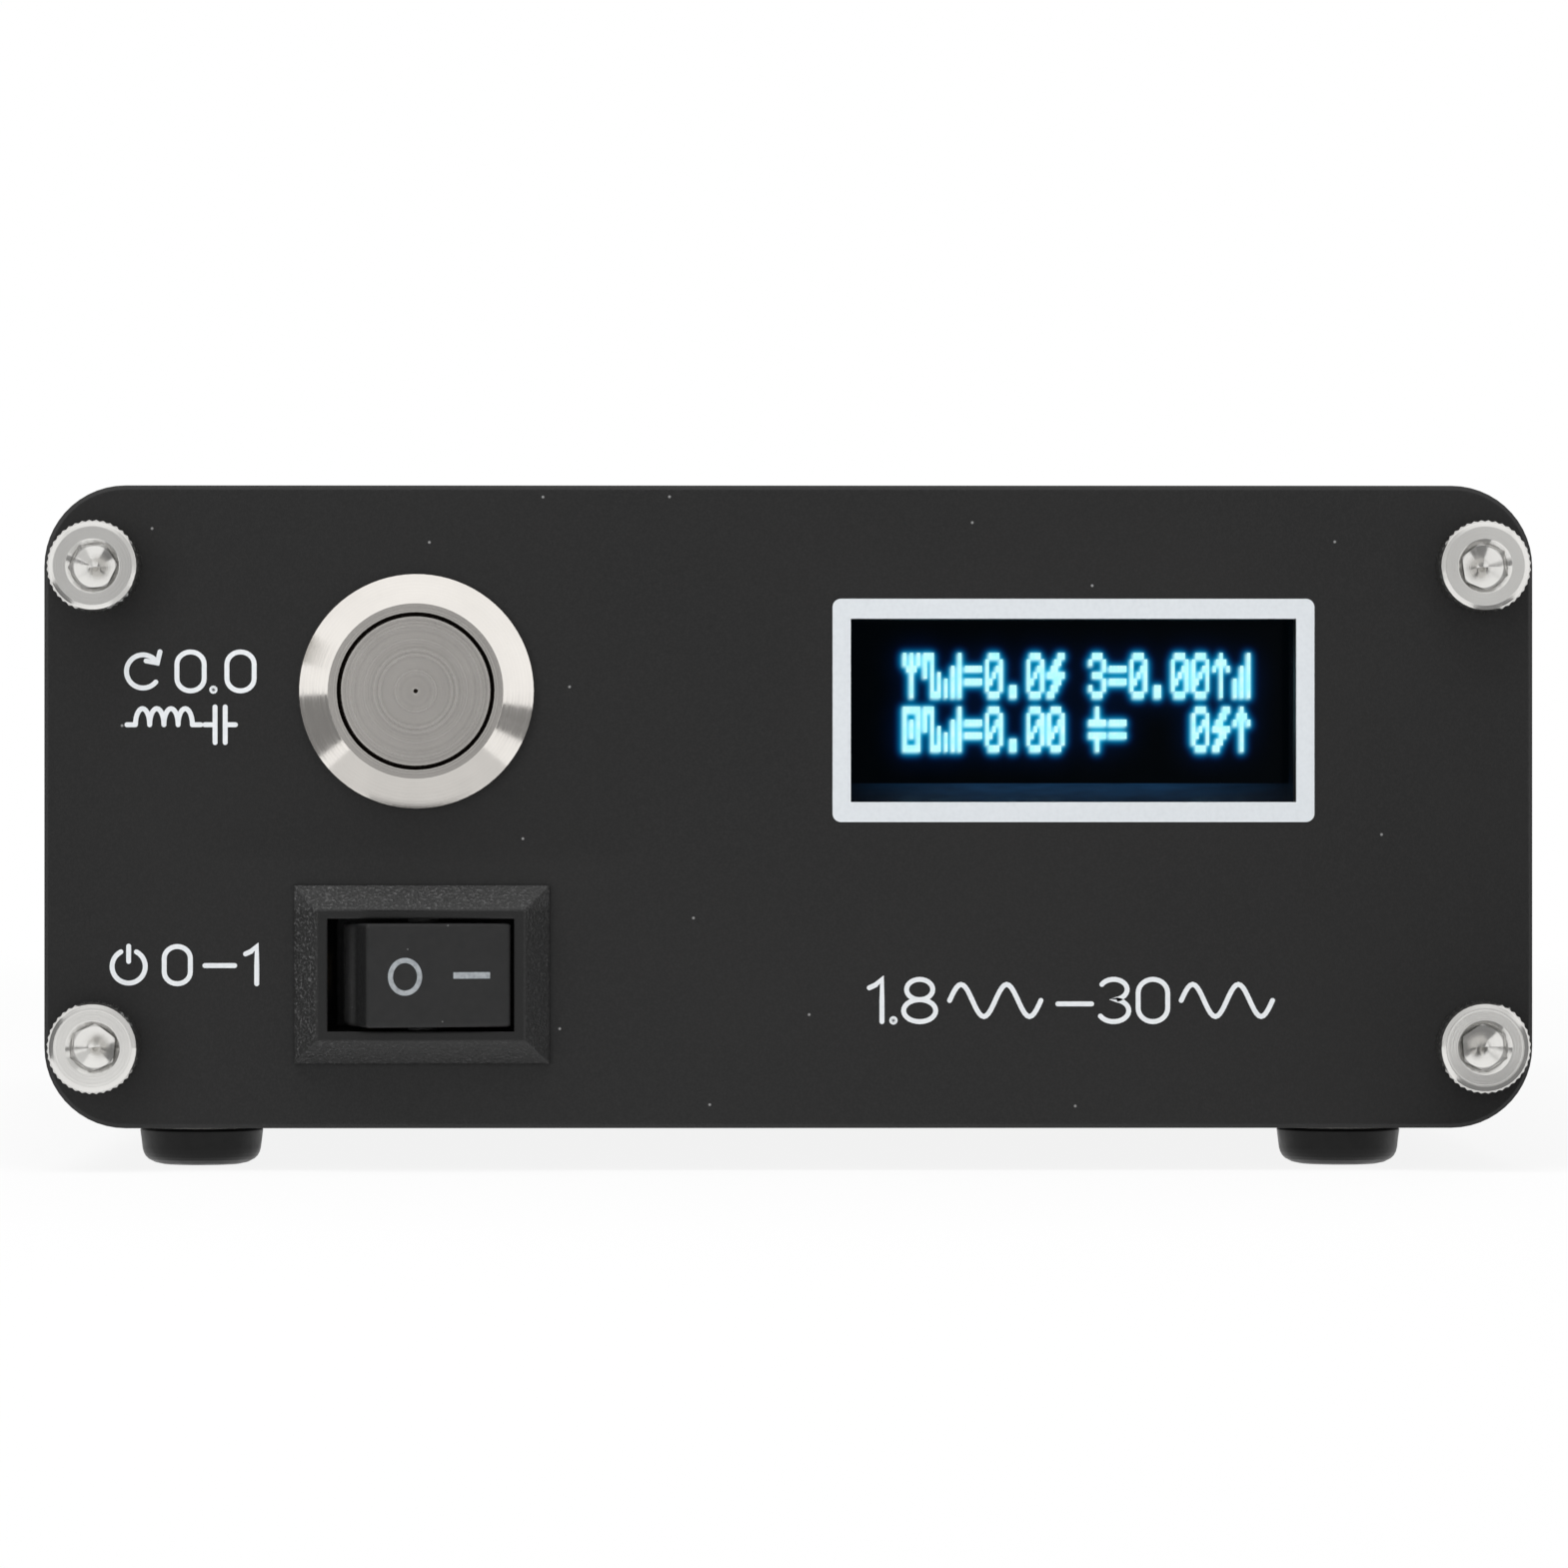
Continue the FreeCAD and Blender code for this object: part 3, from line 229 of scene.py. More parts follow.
def shell_finish():
    """Anodised extrusion: faint die lines that run along its length."""
    made = Finish("satin_black_extrusion", specular=0.29)
    lines = made.noise(0.35, 4.0, (1.0, 0.008, 1.0))
    drift = made.spread(lines, 0.0, 1.0)
    made.colour(made.mix(drift, (0.0142, 0.0142, 0.0144), (0.0172, 0.0170, 0.0170)))
    made.roughness(made.spread(lines, 0.41, 0.49))
    made.soften(0.12)
    made.bump(lines, 0.0015)
    made.bump(made.noise(0.1, 2.0), 0.003)
    return made


def turned_steel(
    name, colour, rough, x, z, mirrored=False, edge=0.05, groove=0.05, depth=0.0015, shade_rings=(), cone_polish=0.0
):
    """Bright metal with the fine concentric marks of turning around its own axis.

    dull holds rows of (inner radius, outer radius, front, strength) in mm: that ring, behind front, is
    darkened by strength towards near black; painted shade in gaps and recesses.
    cone_polish lowers the roughness outside the flat ring of the bezel.
    """
    made = Finish(name, metallic=1.0)
    radius = made.radius(x, z, mirrored)
    marks = made.rings(radius, groove)
    wide = made.rings(radius, groove * 3.5)
    drift = made.spread(made.noise(3.0, 3.0), 0.0, 1.0)
    base = made.mix(drift, shade(colour, 0.95), shade(colour, 1.04))
    base = made.mix(made.spread(marks, 0.0, 0.35), base, shade(colour, 0.86))
    depth_y = made.node("ShaderNodeSeparateXYZ", {"Vector": made.place}).outputs["Y"]
    # painted shade: each row darkens a ring behind front towards a warm near black
    for inner, outer, front, strength in shade_rings:
        inside = made.spread(radius, 0.0, strength, (inner - 0.02) * MM, inner * MM)
        outside = made.spread(radius, 1.0, 0.0, outer * MM, (outer + 0.02) * MM)
        behind = made.spread(depth_y, 0.0, 1.0, FACE_Y + (front - 0.02) * MM, FACE_Y + front * MM)
        painted_shade_band = made.maths("MULTIPLY", made.maths("MULTIPLY", inside, outside), behind)
        base = made.mix(painted_shade_band, base, (0.012, 0.009, 0.007))
    made.colour(base)
    fine = made.spread(radius, 0.0, -cone_polish, 5.1 * MM, 5.25 * MM)
    made.roughness(made.maths("ADD", made.spread(wide, *rough), fine))
    made.soften(edge)
    made.bump(marks, depth)
    return made


def grained_plastic():
    """Switch bezel: spark-eroded bevels, their grain coarsest along the top and left, round a smooth dark
    rim; with painted highlights on the grain of the top and left, a painted lighter top bevel and painted
    highlights along the edges.
    """
    made = Finish("grained_black_plastic", specular=0.4)
    offset = made.node("ShaderNodeVectorMath", {0: made.place, 1: tuple(SWITCH)}, operation="SUBTRACT")
    parts = made.node("ShaderNodeSeparateXYZ", {"Vector": offset.outputs[0]}).outputs
    wide = made.spread(made.maths("ABSOLUTE", parts["X"]), 0.0, 1.0, 6.0 * MM, 6.25 * MM)
    high = made.spread(made.maths("ABSOLUTE", parts["Z"]), 0.0, 1.0, 3.75 * MM, 4.0 * MM)
    bevel = made.maths("MAXIMUM", wide, high)
    slant = made.maths("SUBTRACT", made.maths("MULTIPLY", parts["Z"], 1.47), parts["X"])
    # mask of the top and left bevels: it deepens the grain there and carries the painted highlights of the
    # side the light falls on
    lit_side_and_grain = made.maths("MULTIPLY", bevel, made.spread(slant, 0.3, 1.0, -4.0 * MM, 6.0 * MM))
    coarse = made.noise(0.17, 3.0)
    fine = made.noise(0.08, 2.0)
    pits = made.maths("MULTIPLY", coarse, lit_side_and_grain)
    base = made.mix(bevel, (0.0045, 0.0045, 0.0045), (0.020, 0.020, 0.020))
    # painted light: the top bevel is made lighter
    top = made.spread(parts["Z"], 0.0, 1.0, 3.75 * MM, 4.0 * MM)
    base = made.mix(top, base, (0.034, 0.034, 0.034))
    # painted highlights: light specks on the grain's peaks along the top and left
    painted_glints = made.maths("MULTIPLY", made.spread(coarse, 0.0, 0.75, 0.52, 0.74), lit_side_and_grain)
    base = made.mix(painted_glints, base, (0.16, 0.16, 0.16))
    # painted highlights along the edges
    made.colour(made.mix(made.maths("MULTIPLY", made.edges(0.12), 0.35), base, (0.06, 0.06, 0.06)))
    made.roughness(made.spread(fine, 0.3, 0.48))
    made.soften(0.2)
    made.bump(pits, 0.16)
    made.bump(fine, 0.012)
    return made


def rocker_plastic():
    made = Finish("smooth_black_plastic", specular=0.32)
    drift = made.spread(made.noise(0.6, 4.0), 0.0, 1.0)
    base = made.mix(drift, (0.0135, 0.0137, 0.0139), (0.017, 0.017, 0.0172))
    depth_y = made.node("ShaderNodeSeparateXYZ", {"Vector": made.place}).outputs["Y"]
    # painted light: the paddle grows much lighter deeper into the switch, standing in for light in the shaded
    # recess
    painted_recess_light = made.spread(depth_y, 0.0, 1.0, FACE_Y - 1.7 * MM, FACE_Y + 1.5 * MM)
    base = made.mix(painted_recess_light, base, (0.17, 0.17, 0.17))
    # painted highlights along the edges
    base = made.mix(made.maths("MULTIPLY", made.edges(0.22), 0.7), base, (0.07, 0.07, 0.07))
    made.colour(made.mix(made.specks(2.6, 0.4, 0.055), base, (0.16, 0.16, 0.16)))
    made.roughness(made.spread(made.noise(0.25, 3.0), 0.36, 0.48))
    made.soften(0.28)
    made.bump(made.noise(0.16, 2.0), 0.006)
    return made


def board_laminate():
    """Green solder resist with paler tracks showing through."""
    made = Finish("green_laminate", specular=0.5, coat=0.3, coat_roughness=0.2)
    inputs = {"Vector": made.place, "Scale": 1.0 / (6.0 * MM), "Mortar Size": 0.03}
    tracks = made.node("ShaderNodeTexBrick", inputs).outputs["Fac"]
    weave = made.spread(made.noise(0.5, 2.0), 0.0, 1.0)
    base = made.mix(weave, (0.012, 0.085, 0.04), (0.018, 0.115, 0.055))
    made.colour(made.mix(tracks, base, (0.04, 0.2, 0.1)))
    made.roughness(made.spread(made.noise(1.5), 0.3, 0.45))
    made.bump(tracks, 0.02)
    return made


def holder_finish():
    """Black plastic round the display, with the display's blue light spilt on its sill."""
    made = Finish("display_holder_plastic", specular=0.1)
    drift = made.spread(made.noise(3.0, 3.0), 0.0, 1.0)
    made.colour(made.mix(drift, (0.006, 0.007, 0.009), (0.009, 0.010, 0.012)))
    made.roughness(made.spread(made.noise(0.5), 0.16, 0.26))
    made.bump(made.noise(0.4, 3.0), 0.006)
    place = made.node("ShaderNodeSeparateXYZ", {"Vector": made.place})
    low = GLASS.z - 4.6 * MM
    level = made.spread(place.outputs["Z"], 1.0, 0.0, low, low + 1.4 * MM)
    depth = made.spread(place.outputs["Y"], 0.12, 1.0, FACE_Y + 1.2 * MM, GLASS_Y)
    aside = made.maths("ABSOLUTE", made.maths("SUBTRACT", place.outputs["X"], GLASS.x))
    across = made.spread(aside, 1.0, 0.08, 5.0 * MM, 12.9 * MM)
    patchy = made.spread(made.noise(0.9, 3.0, (0.5, 1.0, 1.0)), 0.65, 1.0)
    spill = level
    for factor in (depth, across, patchy):
        spill = made.maths("MULTIPLY", spill, factor)
    made.emission(made.mix(spill, (0.0, 0.0004, 0.0008), (0.006, 0.034, 0.085)))
    return made


def enamelled_copper():
    made = Finish("enamelled_copper", metallic=1.0, coat=0.6, coat_roughness=0.12)
    drift = made.spread(made.noise(1.2, 4.0), 0.0, 1.0)
    made.colour(made.mix(drift, (0.55, 0.16, 0.05), (0.8, 0.3, 0.11)))
    made.roughness(made.spread(made.noise(0.4), 0.22, 0.38))
    return made


def threaded_metal(name, colour, rough, vary=0.03):
    """Plated or plain metal with fine scratches and a faint tarnish in patches."""
    made = Finish(name, metallic=1.0)
    drift = made.spread(made.noise(4.0, 3.0), 0.0, 1.0)
    base = made.mix(drift, shade(colour, 1 - vary), shade(colour, 1 + vary))
    scratch = made.noise(0.5, 2.0, (1.0, 0.06, 1.0))
    made.colour(made.mix(made.spread(scratch, 0.0, 0.1, 0.55, 0.75), base, shade(colour, 0.8)))
    made.roughness(made.spread(made.noise(3.0, 2.0), *rough))
    made.soften(0.06)
    made.bump(scratch, 0.0008)
    return made


def print_ink(name, low, high):
    """Screen-printed ink: nearly even, with a soft edge to its coverage."""
    made = Finish(name, specular=0.35)
    made.colour(made.mix(made.spread(made.noise(0.25, 4.0), 0.0, 1.0, 0.3, 0.6), low, high))
    made.roughness(made.spread(made.noise(0.3), 0.5, 0.62))
    made.bump(made.noise(0.08), 0.002)
    return made


def lit_finish():
    """Lit display dots: a nearly white cyan, a shade bluer here and there."""
    made = Finish("lit_dots", specular=0.0)
    made.shader.inputs["Base Color"].default_value = (0.01, 0.02, 0.02, 1.0)
    drift = made.spread(made.noise(0.5, 2.0), 0.0, 1.0)
    made.emission(made.mix(drift, (0.42, 0.98, 1.0), (0.64, 1.0, 1.0)))
    made.roughness(made.spread(made.noise(0.4), 0.3, 0.4))
    return made


def glow_finish():
    """Display glass around the lit dots: black, and lit by the blue halo kept on its points."""
    made = Finish("glowing_glass", specular=0.03)
    drift = made.spread(made.noise(4.0), 0.0, 1.0)
    made.colour(made.mix(drift, (0.0003, 0.0005, 0.0007), (0.0006, 0.0009, 0.0012)))
    made.emission(made.node("ShaderNodeAttribute", {}, attribute_name="halo").outputs["Color"])
    made.roughness(made.spread(made.noise(1.0), 0.08, 0.14))
    return made


NICKEL = (0.80, 0.79, 0.765)
STEEL = (0.88, 0.845, 0.80)
SCREW_X = SCREW.x - SCREW_HEAD_R
SCREW_Z = SCREW.z - MID_Z - SCREW_HEAD_R
FINISHES = {
    "panel_black": panel_finish(),
    "shell_black": shell_finish(),
    "bright_screw": turned_steel(
        "bright_nickel", NICKEL, (0.12, 0.2), SCREW_X, SCREW_Z, True, 0.06,
        # painted shade: darker rings in the screw heads' hex recess and round their rims
        shade_rings=[(1.22, 1.5, -2.75, 0.22), (2.4, 3.2, -2.85, 0.22)],
    ),
    "foot_rubber": mottled(
        "black_rubber", (0.006, 0.006, 0.006), (0.34, 0.46), 0.2, 2.0, 0.4, 0.01, 0.1, specular=0.28
    ),
    "adhesive_foam": mottled("pale_foam", (0.5, 0.49, 0.46), (0.7, 0.85), 0.1, 1.0, 0.15, 0.05),
    "button_steel": turned_steel(
        "turned_steel", STEEL, (0.2, 0.28), BUTTON.x, BUTTON.z, groove=0.045, cone_polish=0.1,
        # painted shade: near-black gap round the cap and centre dimple; the first row darkens the cap and
        # flat ring
        shade_rings=[(-1, 5.15, -5, 0.28), (4.51, 4.72, -1.74, 1), (4.42, 4.52, -1.5, 1), (-1, 0.13, -2.5, 1)],
    ),
    "inner_steel": threaded_metal("plated_steel", (0.6, 0.6, 0.58), (0.22, 0.36)),
    "seal_rubber": mottled("matt_rubber", (0.02, 0.02, 0.02), (0.6, 0.75), 0.2, 1.0, 0.2, 0.02),
    "moulded_black": grained_plastic(),
    "rocker_black": rocker_plastic(),
    "terminal_brass": threaded_metal("brass_strip", (0.74, 0.55, 0.26), (0.25, 0.4)),
    "holder_black": holder_finish(),
    "display_glass": mottled("display_glass", (0.0012, 0.0018, 0.003), (0.05, 0.09), 0.2, 4.0, specular=0.3),
    "board_green": board_laminate(),
    "header_black": mottled("header_plastic", (0.018, 0.018, 0.018), (0.45, 0.6), 0.2, 0.8, 0.2, 0.01),
    "relay_case": mottled("relay_case", (0.02, 0.021, 0.024), (0.35, 0.5), 0.18, 1.5, 0.2, 0.012, 0.15),
    "core_red": mottled("painted_core", (0.42, 0.035, 0.02), (0.35, 0.5), 0.2, 1.2, 0.4, 0.03, 0.1),
    "copper_wire": enamelled_copper(),
    "disc_blue": mottled("dipped_ceramic", (0.03, 0.12, 0.38), (0.22, 0.34), 0.18, 1.5, 0.9, 0.05, coat=0.4),
    "ferrite_grey": mottled("bare_ferrite", (0.045, 0.045, 0.05), (0.5, 0.65), 0.2, 0.6, 0.12, 0.02, 0.1),
    "chip_black": mottled("moulded_package", (0.016, 0.016, 0.017), (0.5, 0.65), 0.2, 0.5, 0.08, 0.01, 0.05),
    "small_parts": mottled("small_parts", (0.07, 0.05, 0.035), (0.35, 0.5), 0.4, 0.7, 0.2, 0.01, 0.05),
    "regulator_black": mottled("regulator", (0.022, 0.022, 0.023), (0.45, 0.6), 0.2, 0.8, 0.12, 0.01, 0.08),
    "capacitor_sleeve": mottled(
        "shrunk_sleeve", (0.012, 0.02, 0.07), (0.2, 0.32), 0.15, 2.0, 0.9, 0.02, coat=0.5
    ),
    "socket_nickel": threaded_metal("plated_nickel", (0.74, 0.72, 0.68), (0.24, 0.31)),
    "insulator_white": mottled(
        "white_insulator", (0.74, 0.71, 0.62), (0.35, 0.48), 0.06, 2.5, 0.5, 0.012, 0.12
    ),
    "contact_silver": threaded_metal("plated_contact", (0.82, 0.72, 0.48), (0.18, 0.3)),
    "jack_black": mottled("jack_plastic", (0.014, 0.014, 0.015), (0.25, 0.36), 0.2, 1.5, 0.4, 0.008, 0.12),
    "ground_brass": threaded_metal("turned_brass", (0.78, 0.62, 0.33), (0.2, 0.32), 0.06),
    "cable_grey": mottled("grey_sleeve", (0.2, 0.2, 0.21), (0.35, 0.45), 0.12, 2.0, 0.5, 0.01),
    "wire_white": mottled("white_sleeve", (0.62, 0.61, 0.57), (0.35, 0.45), 0.08, 2.0, 0.5, 0.01),
    "wire_red": mottled("red_sleeve", (0.42, 0.012, 0.01), (0.3, 0.42), 0.12, 2.0, 0.5, 0.01),
}
INK = print_ink("white_ink", (0.74, 0.77, 0.79), (0.79, 0.81, 0.83))
FRAME_INK = print_ink("window_ink", (0.68, 0.715, 0.745), (0.71, 0.745, 0.775))
ROCKER_INK = print_ink("grey_ink", (0.27, 0.29, 0.31), (0.40, 0.425, 0.445))
LIT = lit_finish()
GLOW = glow_finish()

for item in nodes.values():
    for index, old in enumerate(item.data.materials):
        item.data.materials[index] = FINISHES[old.name].material


# ---------------------------------------------------------------- flat printed shapes
def offsets(points, half, closed):
    """Points to the left and right of a line, half away, mitred at its corners."""
    count = len(points)
    left = []
    right = []
    for i, here in enumerate(points):
        before = points[i - 1] if i or closed else None
        after = points[(i + 1) % count] if i < count - 1 or closed else None
        sides = []
        if before is not None:
            sides.append((here - before).normalized())
        if after is not None:
            sides.append((after - here).normalized())
        along = sum(sides, Vector((0, 0))).normalized()
        reach = half / max(0.55, abs(along.dot(sides[0])))
        across = Vector((-along.y, along.x)) * reach
        left.append(here + across)
        right.append(here - across)
    return left, right


def end_cap(mesh, centre, first, last, lift):
    """Half-round end of a stroke: from vertex first to vertex last, around centre."""
    start = Vector((first.co.x, first.co.z)) / MM - centre
    steps = 8
    turned = []
    for i in range(1, steps):
        c, s = math.cos(math.pi * i / steps), math.sin(math.pi * i / steps)
        point = centre + Vector((c * start.x + s * start.y, -s * start.x + c * start.y))
        turned.append(mesh.verts.new((point.x * MM, lift, point.y * MM)))
    mesh.faces.new([first, *turned, last])


def add_stroke(mesh, points, half, closed, lift):
    """One stroke of even width along points, (x, z) in mm, as faces at y = lift."""
    points = [Vector(p) for p in points]
    left, right = offsets(points, half, closed)
    rows = []
    for a, b in zip(left, right):
        rows.append([mesh.verts.new((p.x * MM, lift, p.y * MM)) for p in (a, b)])
    for here, after in zip(rows, rows[1:] + (rows[:1] if closed else [])):
        mesh.faces.new([here[0], after[0], after[1], here[1]])
    if not closed:
        end_cap(mesh, points[-1], rows[-1][0], rows[-1][1], lift)
        end_cap(mesh, points[0], rows[0][1], rows[0][0], lift)


def thicken(mesh, depth):
    """Turns flat faces into closed slabs, depth mm deep, towards +Y."""
    bmesh.ops.recalc_face_normals(mesh, faces=mesh.faces)
    grown = bmesh.ops.extrude_face_region(mesh, geom=list(mesh.faces))
    moved = [v for v in grown["geom"] if isinstance(v, bmesh.types.BMVert)]
    bmesh.ops.translate(mesh, verts=moved, vec=(0, depth * MM, 0))
    bmesh.ops.recalc_face_normals(mesh, faces=mesh.faces)


def piece(name, mesh, finish):
    data = bpy.data.meshes.new(name)
    mesh.to_mesh(data)
    mesh.free()
    data.materials.append(finish.material)
    made = bpy.data.objects.new(name, data)
    scene.collection.objects.link(made)
    return made


def arc(x, z, rx, rz, start, end, steps=20):
    """Points of an elliptic arc, degrees anticlockwise from +X."""
    angles = [math.radians(start + (end - start) * i / steps) for i in range(steps + 1)]
    return [(x + rx * math.cos(a), z + rz * math.sin(a)) for a in angles]


def ring(x, z, rx, rz, steps=36):
    return arc(x, z, rx, rz, 0, 360, steps)[:-1]


def wave(x0, x1, height, turns, steps=40):
    """Sine wave about z 0."""
    return [
        (x0 + (x1 - x0) * i / steps, height / 2 * math.sin(2 * math.pi * turns * i / steps))
        for i in range(steps + 1)
    ]


# Strokes of plain figures, in a cell one unit high that starts at x 0: (points, closed).
FIGURES = {
    "0": [(arc(0.35, 0.68, 0.35, 0.32, 0, 180, 14) + arc(0.35, 0.32, 0.35, 0.32, 180, 360, 14), True)],
    "1": [([(0.0, 0.8), (0.15, 0.87), (0.3, 1.0), (0.3, 0.5), (0.3, 0.0)], False)],
    "3": [(arc(0.32, 0.76, 0.32, 0.24, 150, -90, 18) + arc(0.32, 0.26, 0.36, 0.26, 90, -150, 18)[1:], False)],
    "8": [(ring(0.38, 0.76, 0.31, 0.24, 28), True), (ring(0.38, 0.26, 0.38, 0.26, 28), True)],
    ".": [(ring(0.0, 0.03, 0.04, 0.04, 12), True)],
    "-": [([(0.0, 0.42), (0.8, 0.42)], False)],
}


def figure(key, x, z, height):
    """A plain figure with its lower left corner at (x, z)."""
    strokes = FIGURES[key]
    return [([(x + px * height, z + pz * height) for px, pz in line], closed) for line, closed in strokes]


def moved(strokes, x, z):
    return [([(px + x, pz + z) for px, pz in line], closed) for line, closed in strokes]


def printed(name, strokes, width, face_y, facing=-1):
    """White print on a face: every stroke stands 0.02 mm proud of it and reaches a little into it."""
    mesh = bmesh.new()
    for i, (line, closed) in enumerate(strokes):
        part = bmesh.new()
        add_stroke(part, line, width / 2, closed, 0.0)
        thicken(part, 0.05 + 0.002 * i)
        top = (0.02 + 0.001 * i) * MM
        bmesh.ops.translate(part, verts=part.verts, vec=(0, -top, 0))
        if facing > 0:
            bmesh.ops.scale(part, verts=part.verts, vec=(1, -1, 1))
            bmesh.ops.recalc_face_normals(part, faces=part.faces)
        bmesh.ops.translate(part, verts=part.verts, vec=(0, face_y, MID_Z))
        data = bpy.data.meshes.new("stroke")
        part.to_mesh(data)
        part.free()
        mesh.from_mesh(data)
        bpy.data.meshes.remove(data)
    made = piece(name, mesh, INK)
    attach(made, "root")
    return made


LEGEND_STROKE = 0.29

reset_symbol = [(arc(0, 0, 0.98, 0.98, 30, 320, 30), False)]
reset_symbol.append(([(0.18, 0.62), (0.84, 0.5), (1.0, 1.16)], False))
coil_symbol = [([(-0.5, 0.0), (0.0, 0.0)], False)]
for bump_index in range(4):
    coil_symbol.append((arc(0.42 + 0.84 * bump_index, 0, 0.42, 0.95, 180, 0, 14), False))
coil_symbol.append(([(3.36, 0.0), (3.86, 0.0)], False))
capacitor_symbol = [([(-0.9, 0.0), (-0.3, 0.0)], False), ([(0.3, 0.0), (0.9, 0.0)], False)]
capacitor_symbol += [([(side * 0.3, -1.05), (side * 0.3, 1.05)], False) for side in (-1, 1)]
power_symbol = [(arc(0, -0.08, 0.98, 0.98, 118, 422, 30), False), ([(0, 0.22), (0, 1.12)], False)]

tuning_legend = moved(reset_symbol, -38.15, 8.0)
for key, x in (("0", -36.15), (".", -34.0), ("0", -33.2)):
    tuning_legend += figure(key, x, 6.85, 2.3)
tuning_legend += moved(coil_symbol, -38.6, 4.85) + moved(capacitor_symbol, -33.6, 4.85)
printed("tuning_legend", tuning_legend, LEGEND_STROKE, FACE_Y)

power_legend = moved(power_symbol, -39.0, -9.35)
for key, x, z in (("0", -36.9, -10.45), ("-", -34.5, -10.3), ("1", -32.1, -10.45)):
    power_legend += figure(key, x, z, 2.2)
printed("power_legend", power_legend, LEGEND_STROKE, FACE_Y)

range_legend = []
for key, x in (("1", 4.75), (".", 6.18), ("8", 6.78)):
    range_legend += figure(key, x, -12.7, 2.5)
range_legend += moved([(wave(start, start + 5.4, 1.9, 2.0), False) for start in (9.5, 23.2)], 0, -11.45)
for key, x in (("-", 15.9), ("3", 18.4), ("0", 20.65)):
    range_legend += figure(key, x, -12.7, 2.5)
printed("range_legend", range_legend, LEGEND_STROKE, FACE_Y)

aerial_symbol = [([(0, -1.4), (0, 1.4)], False), ([(-1.1, 1.4), (0, 0.2), (1.1, 1.4)], False)]
earth_symbol = [([(0, 0.5), (0, 1.3)], False)]
earth_symbol += [([(-w, z), (w, z)], False) for w, z in ((1.1, 0.4), (0.7, -0.15), (0.3, -0.7))]
mast_symbol = [(wave(-2.2, 2.2, 1.7, 1.5), False)]
supply_symbol = [([(-1.3, 0.35), (1.3, 0.35)], False)]
supply_symbol += [([(x - 0.25, -0.4), (x + 0.25, -0.4)], False) for x in (-1.05, 0.0, 1.05)]
for label, strokes, x, z in (
    ("aerial_mark", aerial_symbol, 24.0, -15.6),
    ("radio_mark", mast_symbol, -24.0, -15.6),
    ("earth_mark", earth_symbol, -7.6, -8.0),
    ("supply_mark", supply_symbol, -8.2, 7.2),
):
    printed(label, moved(strokes, x, z), LEGEND_STROKE, BACK_Y, facing=1)


# ---------------------------------------------------------------- white frame around the window
def rounded_outline(x, z, w, h, r, steps):
    """Points around a rectangle with corner radius r, clockwise from its top right."""
    points = []
    for sx, sz, start in ((1, 1, 90), (1, -1, 0), (-1, -1, -90), (-1, 1, -180)):
        points += arc(x + sx * (w / 2 - r), z + sz * (h / 2 - r), r, r, start, start - 90, steps)
    return points


def window_frame():
    mesh = bmesh.new()
    loops = []
    for w, h, r in ((28.5, 13.2, 0.5), (26.34, 10.84, 0.02)):
        points = rounded_outline(16.83, 5.7, w, h, r, 8)
        loops.append([mesh.verts.new((px * MM, 0, pz * MM)) for px, pz in points])
    outer, inner = loops
    for i in range(len(outer)):
        j = (i + 1) % len(outer)
        mesh.faces.new([outer[i], outer[j], inner[j], inner[i]])
    thicken(mesh, 0.06)
    bmesh.ops.translate(mesh, verts=mesh.verts, vec=(0, FACE_Y - 0.03 * MM, MID_Z))
    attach(piece("window_frame_print", mesh, FRAME_INK), "root")


window_frame()


# ---------------------------------------------------------------- marks on the rocker
def rocker_marks():
    """Open ring and short bar on the paddle's face, drawn level and then tilted with it."""
    mesh = bmesh.new()
    add_stroke(mesh, ring(-2.03, -0.06, 0.87, 0.96, 48), 0.15, True, 0.0)
    bar = [(0.86, -0.19), (3.05, -0.19), (3.05, 0.19), (0.86, 0.19)]
    mesh.faces.new([mesh.verts.new((x * MM, 0, z * MM)) for x, z in bar])
    thicken(mesh, 0.06)
    place = Vector((SWITCH.x, ROCKER_FACE_Y - 0.015 * MM, SWITCH.z))
    bmesh.ops.translate(mesh, verts=mesh.verts, vec=place)
    pivot = Vector((SWITCH.x, ROCKER_PIVOT_Y, SWITCH.z))
    turn = Matrix.Translation(pivot) @ Matrix.Rotation(ROCKER_TILT, 4, "Z") @ Matrix.Translation(-pivot)
    bmesh.ops.transform(mesh, matrix=turn, verts=mesh.verts)
    made = piece("rocker_marks", mesh, ROCKER_INK)
    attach(made, "rocker")


rocker_marks()


# ---------------------------------------------------------------- lit display
# Dot patterns five wide and seven high; # is a lit dot. Plain figures and simple signs only.
GLYPHS = {
    "0": ".###. #...# #..## #.#.# ##..# #...# .###.",
    "=": "..... ..... ##### ..... ##### ..... .....",
    ".": "..... ..... ..... ..... ..... .##.. .##..",
    "mast": "#.#.# #.#.# .###. ..#.. ..#.. ..#.. ..#..",
    "bars": "....# ....# ..#.# ..#.# #.#.# #.#.# #.#.#",
    "pulse": "###.. #.#.. #.#.. #.#.# ..#.# ..#.# ..###",
    "bolt": "...## ..##. .##.. ##### ..##. .##.. ##...",
    "coil": ".###. #...# ....# .###. ....# #...# .###.",
    "plates": "..#.. ..#.. ##### ..... ##### ..#.. ..#..",
    "up": "..#.. .###. #.#.# ..#.. ..#.. ..#.. ..#..",
    "block": "##### #...# #.#.# #.#.# #.#.# #...# #####",
    "blank": "..... ..... ..... ..... ..... ..... .....",
}
ROW_ONE = "mast pulse bars = 0 . 0 bolt blank coil = 0 . 0 0 up bars".split()
ROW_TWO = "block pulse bars = 0 . 0 0 blank plates = blank blank blank 0 bolt up".split()
DOT_W = 0.206
DOT_H = 0.193
CELL_W = 6 * DOT_W
TEXT_X = 17.28
